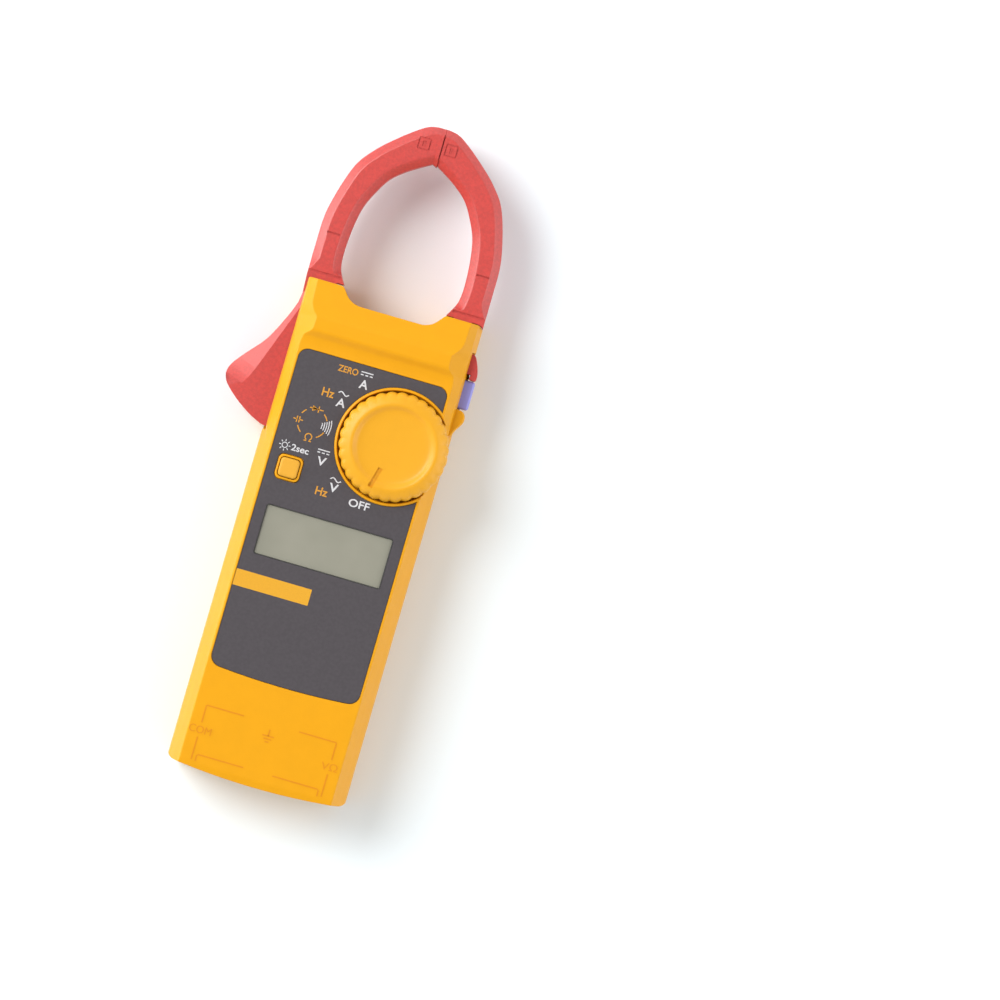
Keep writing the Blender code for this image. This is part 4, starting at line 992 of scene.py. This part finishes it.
def jaws():
    for front in (True, False):
        tag = "front" if front else "rear"
        right = jaw_half("right_jaw_" + tag, 1, front)
        add_piece(right, "case", JAW_RED, ["fixed_jaw_" + tag], angle=28.0)
        left = jaw_half("left_jaw_" + tag, -1, front)
        add_piece(left, "moving_jaw", JAW_RED, ["moving_jaw_" + tag], angle=28.0)


# ---------------------------------------------------------------- printed and moulded marks

def flat_text(name, words, x, y, z, body_height, bold=0.018):
    """Text stretched to fill the box x, y and lying at height z."""
    data = bpy.data.curves.new(name + "_font", "FONT")
    data.body = words
    data.offset = bold
    data.extrude = 0.01
    data.resolution_u = 6
    letters = bpy.data.objects.new(name, data)
    bpy.context.scene.collection.objects.link(letters)
    bpy.context.view_layer.update()
    graph = bpy.context.evaluated_depsgraph_get()
    mesh = bpy.data.meshes.new_from_object(letters.evaluated_get(graph))
    bpy.data.objects.remove(letters, do_unlink=True)
    across = [v.co.x for v in mesh.vertices]
    along = [v.co.y for v in mesh.vertices]
    left, width = min(across), max(across) - min(across)
    low, height = min(along), max(along) - min(along)
    for vertex in mesh.vertices:
        vertex.co.x = (x[0] + (vertex.co.x - left) / width * (x[1] - x[0])) * MM
        vertex.co.y = (y[0] + (vertex.co.y - low) / height * (y[1] - y[0])) * MM
        vertex.co.z = (z + (body_height if vertex.co.z > 0 else 0.0)) * MM
    piece = bpy.data.objects.new(name, mesh)
    bpy.context.scene.collection.objects.link(piece)
    return piece


def strokes(name, paths, width, z, body_height):
    """Lines of even width along open paths, all in one piece."""
    work = bmesh.new()
    for path in paths:
        outline = band(path, width)
        half = len(path)
        for level in (z, z + body_height):
            for x, y in outline:
                work.verts.new((x * MM, y * MM, level * MM))
        work.verts.ensure_lookup_table()
        first = len(work.verts) - 2 * len(outline)
        count = len(outline)
        for k in range(half - 1):
            around = (k, k + 1, count - 2 - k, count - 1 - k)
            work.faces.new([work.verts[first + count + j] for j in around])
            work.faces.new([work.verts[first + j] for j in around[::-1]])
        for k in range(count):
            n = (k + 1) % count
            work.faces.new([work.verts[first + j] for j in (k, n, count + n, count + k)])
    return new_object(name, work)


PRINT_Z = LABEL_HIGH.z + 0.01
PRINT_HEIGHT = 0.03
STROKE = 0.34


def print_text(name, words, x, y, ink):
    add_piece(flat_text(name, words, x, y, PRINT_Z, PRINT_HEIGHT), "case", ink)


def print_strokes(name, paths, ink, width=STROKE):
    add_piece(strokes(name, paths, width, PRINT_Z, PRINT_HEIGHT), "case", ink)


def direct_sign(x, y):
    """Full line over three dashes, from x[0] to x[1]."""
    span = x[1] - x[0]
    dash = span * 0.24
    paths = [[(x[0], y + 0.42), (x[1], y + 0.42)]]
    for k in range(3):
        start = x[0] + k * (span - dash) / 2
        paths.append([(start, y - 0.42), (start + dash, y - 0.42)])
    return paths


def alternating_sign(x, y):
    """One period of a wave from x[0] to x[1]."""
    span = x[1] - x[0]
    return [[(x[0] + span * k / 16, y + 0.5 * sin(2 * pi * k / 16)) for k in range(17)]]


def symbol_wheel(centre):
    """Diode, capacitor and ohm signs on a circle of arcs."""
    x, y = centre
    radius = 4.4
    paths = [arc(centre, radius, first, last, 6)
             for first, last in ((24, 52), (128, 152), (203, 232), (300, 336))]
    top = y + radius
    paths += [[(x - 2.0, top), (x + 2.2, top)], [(x + 0.75, top - 0.95), (x + 0.75, top + 0.95)]]
    paths += [[(x - 1.0 + 0.25 * k, top - 0.8 + 0.14 * k), (x - 1.0 + 0.25 * k, top + 0.8 - 0.14 * k)]
              for k in range(6)]
    side = x - radius
    paths += [[(side - 1.5, y), (side - 0.35, y)], [(side + 0.35, y), (side + 1.5, y)],
              [(side - 0.38, y - 0.95), (side - 0.38, y + 0.95)],
              [(side + 0.38, y - 0.95), (side + 0.38, y + 0.95)]]
    foot = y - radius
    ohm = [(x - 1.15, foot - 1.1), (x - 0.4, foot - 1.1)] + arc((x, foot + 0.15), 1.0, 232, -52, 14)
    paths.append(ohm + [(x + 0.4, foot - 1.1), (x + 1.15, foot - 1.1)])
    return paths


def sound_waves(centre):
    paths = []
    for k in range(5):
        lean = 11.0 + 1.6 * k
        paths.append(arc((centre[0] - 6.4, centre[1]), 4.9 + 0.68 * k, -lean, lean, 6))
    return paths


def sun_sign(centre):
    paths = [arc(centre, 0.8, 0, 360, 18)]
    for k in range(8):
        turn = pi * k / 4
        paths.append([(centre[0] + r * cos(turn), centre[1] + r * sin(turn)) for r in (1.15, 1.75)])
    return paths


def dial_marks():
    print_text("mark_zero", "ZERO", (-10.6, -4.4), (51.0, 53.0), PRINT_ORANGE)
    print_strokes("mark_amps_direct_sign", direct_sign((-3.6, 0.1), 52.3), PRINT_WHITE)
    print_text("mark_amps_direct", "A", (-3.2, -0.5), (47.8, 50.5), PRINT_WHITE)
    print_text("mark_amps_hertz", "Hz", (-13.2, -9.5), (42.6, 45.2), PRINT_ORANGE)
    print_strokes("mark_amps_wave", alternating_sign((-8.4, -5.2), 44.8), PRINT_WHITE)
    print_text("mark_amps_alternating", "A", (-8.3, -5.5), (40.7, 43.3), PRINT_WHITE)
    print_strokes("mark_wheel", symbol_wheel((-13.4, 33.8)), PRINT_ORANGE)
    print_strokes("mark_sound", sound_waves((-8.9, 33.8)), PRINT_WHITE, 0.28)
    print_strokes("mark_sun", sun_sign((-19.5, 25.3)), PRINT_WHITE, 0.24)
    print_text("mark_two_seconds", "2sec", (-17.4, -12.0), (24.3, 26.3), PRINT_WHITE)
    print_strokes("mark_volts_direct_sign", direct_sign((-9.6, -5.9), 26.5), PRINT_WHITE)
    print_text("mark_volts_direct", "V", (-9.0, -6.2), (22.3, 24.9), PRINT_WHITE)
    print_strokes("mark_volts_wave", alternating_sign((-3.6, -0.3), 19.4), PRINT_WHITE)
    print_text("mark_volts_alternating", "V", (-3.3, -0.5), (15.7, 18.3), PRINT_WHITE)
    print_text("mark_volts_hertz", "Hz", (-6.9, -3.2), (13.7, 16.2), PRINT_ORANGE)
    print_text("mark_off", "OFF", (3.6, 10.0), (13.1, 15.5), PRINT_WHITE)
    strip = prism("printed_strip", rectangle(-LABEL_HALF_WIDTH + 0.05, 0.4, -19.0, -14.0, 0.15),
                  PRINT_Z, PRINT_Z + PRINT_HEIGHT)
    add_piece(strip, "case", BAND_YELLOW)


def socket_marks():
    """Lines and letters moulded in the face above the two sockets, raised a little in a darker yellow
    that paints the shade of engraved grooves.
    """
    z, height = FACE_Z - 0.02, 0.09
    lines = []
    for side in (-1, 1):
        lines.append([(side * 8.6, -55.8), (side * 20.0, -55.8), (side * 20.2, -56.0),
                      (side * 20.2, -61.2)])
        lines.append([(side * 20.2, -65.6), (side * 20.2, -72.6)])
        lines.append([(side * 4.5, -70.7), (side * 18.4, -70.7), (side * 18.9, -71.1),
                      (side * 18.9, -72.8)])
    lines.append([(0.0, -57.6), (0.0, -59.6)])
    for half, y in ((1.8, -59.6), (1.2, -60.5), (0.6, -61.4)):
        lines.append([(-half, y), (half, y)])
    add_piece(strokes("moulded_lines", lines, 0.4, z, height), "case", GROOVE_SHADE_YELLOW)
    for name, words, x in (("moulded_com", "COM", (-23.4, -16.6)),
                           ("moulded_volts", "V\u03a9", (17.6, 22.6))):
        letters = flat_text(name, words, x, (-64.5, -62.2), z, height, 0.0)
        add_piece(letters, "case", GROOVE_SHADE_YELLOW)


# ---------------------------------------------------------------- battery cover, sockets, screws

def battery_cover():
    x, y = (COVER_LOW.x, COVER_HIGH.x), (COVER_LOW.y + 1.85, COVER_HIGH.y)
    cover = layered("battery_lid", rectangle(x[0], x[1], y[0], y[1], 1.3),
                    [(0.0, 0.45), (0.06, 0.25), (0.2, 0.08), (0.4, 0.0), (COVER_HIGH.z, 0.0)])
    for i, spot in enumerate((-8.0, 8.0)):
        join(cover, box(f"lid_tongue_{i}", (spot - 2.0, spot + 2.0), (-68.0, -65.0), (1.0, 1.35)))
    grips = []
    for i in range(5):
        low = -52.0 + 2.2 * i
        grips.append(layered(f"grip_{i}", rectangle(-6.0, 6.0, low, low + 0.9, 0.4),
                             [(-0.1, -0.15), (0.05, -0.05), (0.15, 0.0), (0.42, 0.0)]))
    cut(cover, *grips)
    cut(cover, lathe("lid_screw_hole", [(0, -1.0), (2.75, -1.0), (2.75, 0.0), (2.6, 0.15), (2.6, 0.8),
                                        (1.6, 0.8), (1.6, 3.0), (0, 3.0)], COVER_SCREW, 40))
    add_piece(cover, "case", CASE_YELLOW, ["battery_cover"])


def input_sockets():
    """Insulators with a rounded mouth, and sprung brass contacts inside them."""
    for name, x in (("com", -SOCKET_X), ("voltage", SOCKET_X)):
        low, high = corner_mm(name + "_socket")
        centre = ((low.x + high.x) / 2, SOCKET_Z)
        outer = (high.x - low.x) / 2
        insulator = lathe(name + "_insulator", [
            (4.35, low.y), (4.6, low.y), (outer, low.y + 0.2), (outer, high.y - 0.2),
            (outer - 0.2, high.y), (2.95, high.y), (2.95, -57.0), (4.1, -57.0),
            (4.1, low.y + 0.25), (4.2, low.y + 0.07)], centre, 72, "Y")
        add_piece(insulator, "case", BLACK_PLASTIC, [name + "_socket"])
        low, high = corner_mm(name + "_contact")
        sleeve = lathe(name + "_sleeve", [
            (0.0, high.y), (2.6, high.y), (2.6, low.y + 0.2), (2.4, low.y), (2.15, low.y),
            (2.0, low.y + 0.2), (2.0, -56.0), (0.0, -56.0)], centre, 48, "Y")
        slit = box(name + "_slit", (centre[0] - 3.0, centre[0] + 3.0), (-73.0, -60.0),
                   (SOCKET_Z - 0.2, SOCKET_Z + 0.2))
        cut(sleeve, slit)
        add_piece(sleeve, "case", BRASS, [name + "_contact"])


def screw_heads():
    """Pan-head screws with a cross recess and a thread, driven from the back."""
    sizes = {"case_screw": (4, "case", 1.2, 1.9), "fixed_jaw_screw": (2, "case", 0.0, 1.6),
             "moving_jaw_screw": (2, "moving_jaw", 0.0, 1.6)}
    spots = [(f"{kind}_{i + 1}", *sizes[kind][1:]) for kind in sizes for i in range(sizes[kind][0])]
    spots.append(("battery_cover_screw", "case", 0.95, 0.4))
    for node, body, shank, height in spots:
        low, high = corner_mm(node)
        radius = (high.x - low.x) / 2
        shank = shank or radius * 0.5
        centre = ((low.x + high.x) / 2, (low.y + high.y) / 2)
        profile = [(0.0, low.z), (radius * 0.8, low.z), (radius * 0.94, low.z + height * 0.12),
                   (radius, low.z + height * 0.4), (radius, low.z + height), (shank, low.z + height)]
        z = low.z + height + 0.3
        while z < high.z - 1.0:
            profile += [(shank, z), (shank * 0.86, z + 0.25)]
            z += 0.5
        profile += [(shank * 0.86, high.z - 0.8), (0.0, high.z)]
        head = lathe(node.replace("screw", "fastener"), profile, centre, 40)
        reach = radius * 0.62
        depth = low.z + min(1.0, height * 0.7)
        for i, (wide, tall) in enumerate(((reach, 0.28), (0.28, reach))):
            cut(head, box(f"recess_{i}", (centre[0] - wide, centre[0] + wide),
                          (centre[1] - tall, centre[1] + tall), (low.z - 1.0, depth)))
        add_piece(head, body, STEEL, [node])


# ---------------------------------------------------------------- stage, camera and light

def floor():
    bpy.ops.mesh.primitive_plane_add(size=6.0, location=(0.0, 0.0, -0.0002))
    plane = bpy.context.object
    plane.name = "floor"
    material, _, shader = node_material("floor_white")
    shader.inputs["Base Color"].default_value = (0.85, 0.92, 0.95, 1.0)
    shader.inputs["Roughness"].default_value = 0.9
    shader.inputs["Specular IOR Level"].default_value = 0.1
    plane.data.materials.append(material)


VIEW_CENTRE = Vector((46.8, 27.4, 10.0)) * MM
VIEW_TURN = radians(16.2)
VIEW_DISTANCE = 4.0
VIEW_WIDTH = 0.300
SENSOR = 36.0


def camera():
    data = bpy.data.cameras.new("camera")
    data.sensor_width = SENSOR
    data.lens = SENSOR * VIEW_DISTANCE / VIEW_WIDTH
    data.clip_start = 0.05
    data.clip_end = 20.0
    eye = bpy.data.objects.new("camera", data)
    eye.location = VIEW_CENTRE + Vector((0.0, 0.0, VIEW_DISTANCE))
    eye.rotation_euler = (0.0, 0.0, VIEW_TURN)
    bpy.context.scene.collection.objects.link(eye)
    bpy.context.scene.camera = eye


def area_light(name, towards, elevation, distance, size, power):
    """Soft box that looks at the meter; towards is clockwise from straight up in the front view."""
    data = bpy.data.lights.new(name, "AREA")
    data.shape = "DISK"
    data.size = size
    data.energy = power
    light = bpy.data.objects.new(name, data)
    turn = pi / 2 - radians(towards) + VIEW_TURN
    way = Vector((cos(turn) * cos(radians(elevation)), sin(turn) * cos(radians(elevation)),
                  sin(radians(elevation))))
    target = Vector((0.0, 0.025, 0.015))
    light.location = target + way * distance
    light.rotation_euler = (-way).to_track_quat("-Z", "Y").to_euler()
    bpy.context.scene.collection.objects.link(light)


def lighting():
    world = bpy.data.worlds.new("studio")
    bpy.context.scene.world = world
    world.use_nodes = True
    background = world.node_tree.nodes["Background"]
    place = world.node_tree.nodes.new("ShaderNodeTexCoord")
    split = world.node_tree.nodes.new("ShaderNodeSeparateXYZ")
    tent = world.node_tree.nodes.new("ShaderNodeValToRGB")
    tent.color_ramp.elements[0].color = (1.0, 1.0, 1.0, 1.0)
    tent.color_ramp.elements[0].position = 0.15
    tent.color_ramp.elements[1].color = (0.28, 0.28, 0.28, 1.0)
    tent.color_ramp.elements[1].position = 0.9
    world.node_tree.links.new(place.outputs["Generated"], split.inputs["Vector"])
    world.node_tree.links.new(split.outputs["Z"], tent.inputs["Fac"])
    world.node_tree.links.new(tent.outputs["Color"], background.inputs["Color"])
    background.inputs["Strength"].default_value = 1.2
    area_light("key", -50.0, 50.0, 1.6, 0.9, 18.0)
    area_light("low_left", -70.0, 12.0, 1.5, 0.9, 11.0)
    area_light("fill_right", 105.0, 32.0, 1.6, 1.2, 9.0)
    bpy.context.scene.view_settings.view_transform = "Standard"


# ---------------------------------------------------------------- CAD nodes that stay as they are

def numbered(name, count):
    return [f"{name}_{i + 1}" for i in range(count)]


CARRIED = [
    (STEEL, numbered("battery_contact", 2) + numbered("battery_spring", 2)
     + numbered("detent_ball", 2) + numbered("detent_spring", 2)
     + ["jaw_spring", "knob_screw", "pivot_pin"]),
    (BRASS, numbered("wiper_contact", 3)),
    (CELL_JACKET, numbered("battery_cell", 2)),
    (FERRITE, ["bridge_core", "fixed_core", "moving_core"]),
    (SILICONE, ["lower_contact_strip", "upper_contact_strip"]),
    (BLACK_PLASTIC, ["backlight_switch", "buzzer", "display_frame", "hall_sensor", "hold_switch",
                     "measuring_chip", "sensor_lead"]),
    (WHITE_PLASTIC, ["backlight_panel", "detent_ring", "switch_rotor"]),
    (DISPLAY_GREY, ["display_panel"]),
    (BLUE_CERAMIC, ["input_thermistor"]),
    (BOARD_GREEN, ["main_board"]),
]


def carry_over():
    for material, names in CARRIED:
        for name in names:
            NODES[name].data.materials.clear()
            NODES[name].data.materials.append(material)


front_case()
rear_case()
panel_label()
window_pane()
window_surround()
dial_knob()
keys()
jaws()
dial_marks()
socket_marks()
battery_cover()
input_sockets()
screw_heads()
carry_over()
floor()
camera()
lighting()
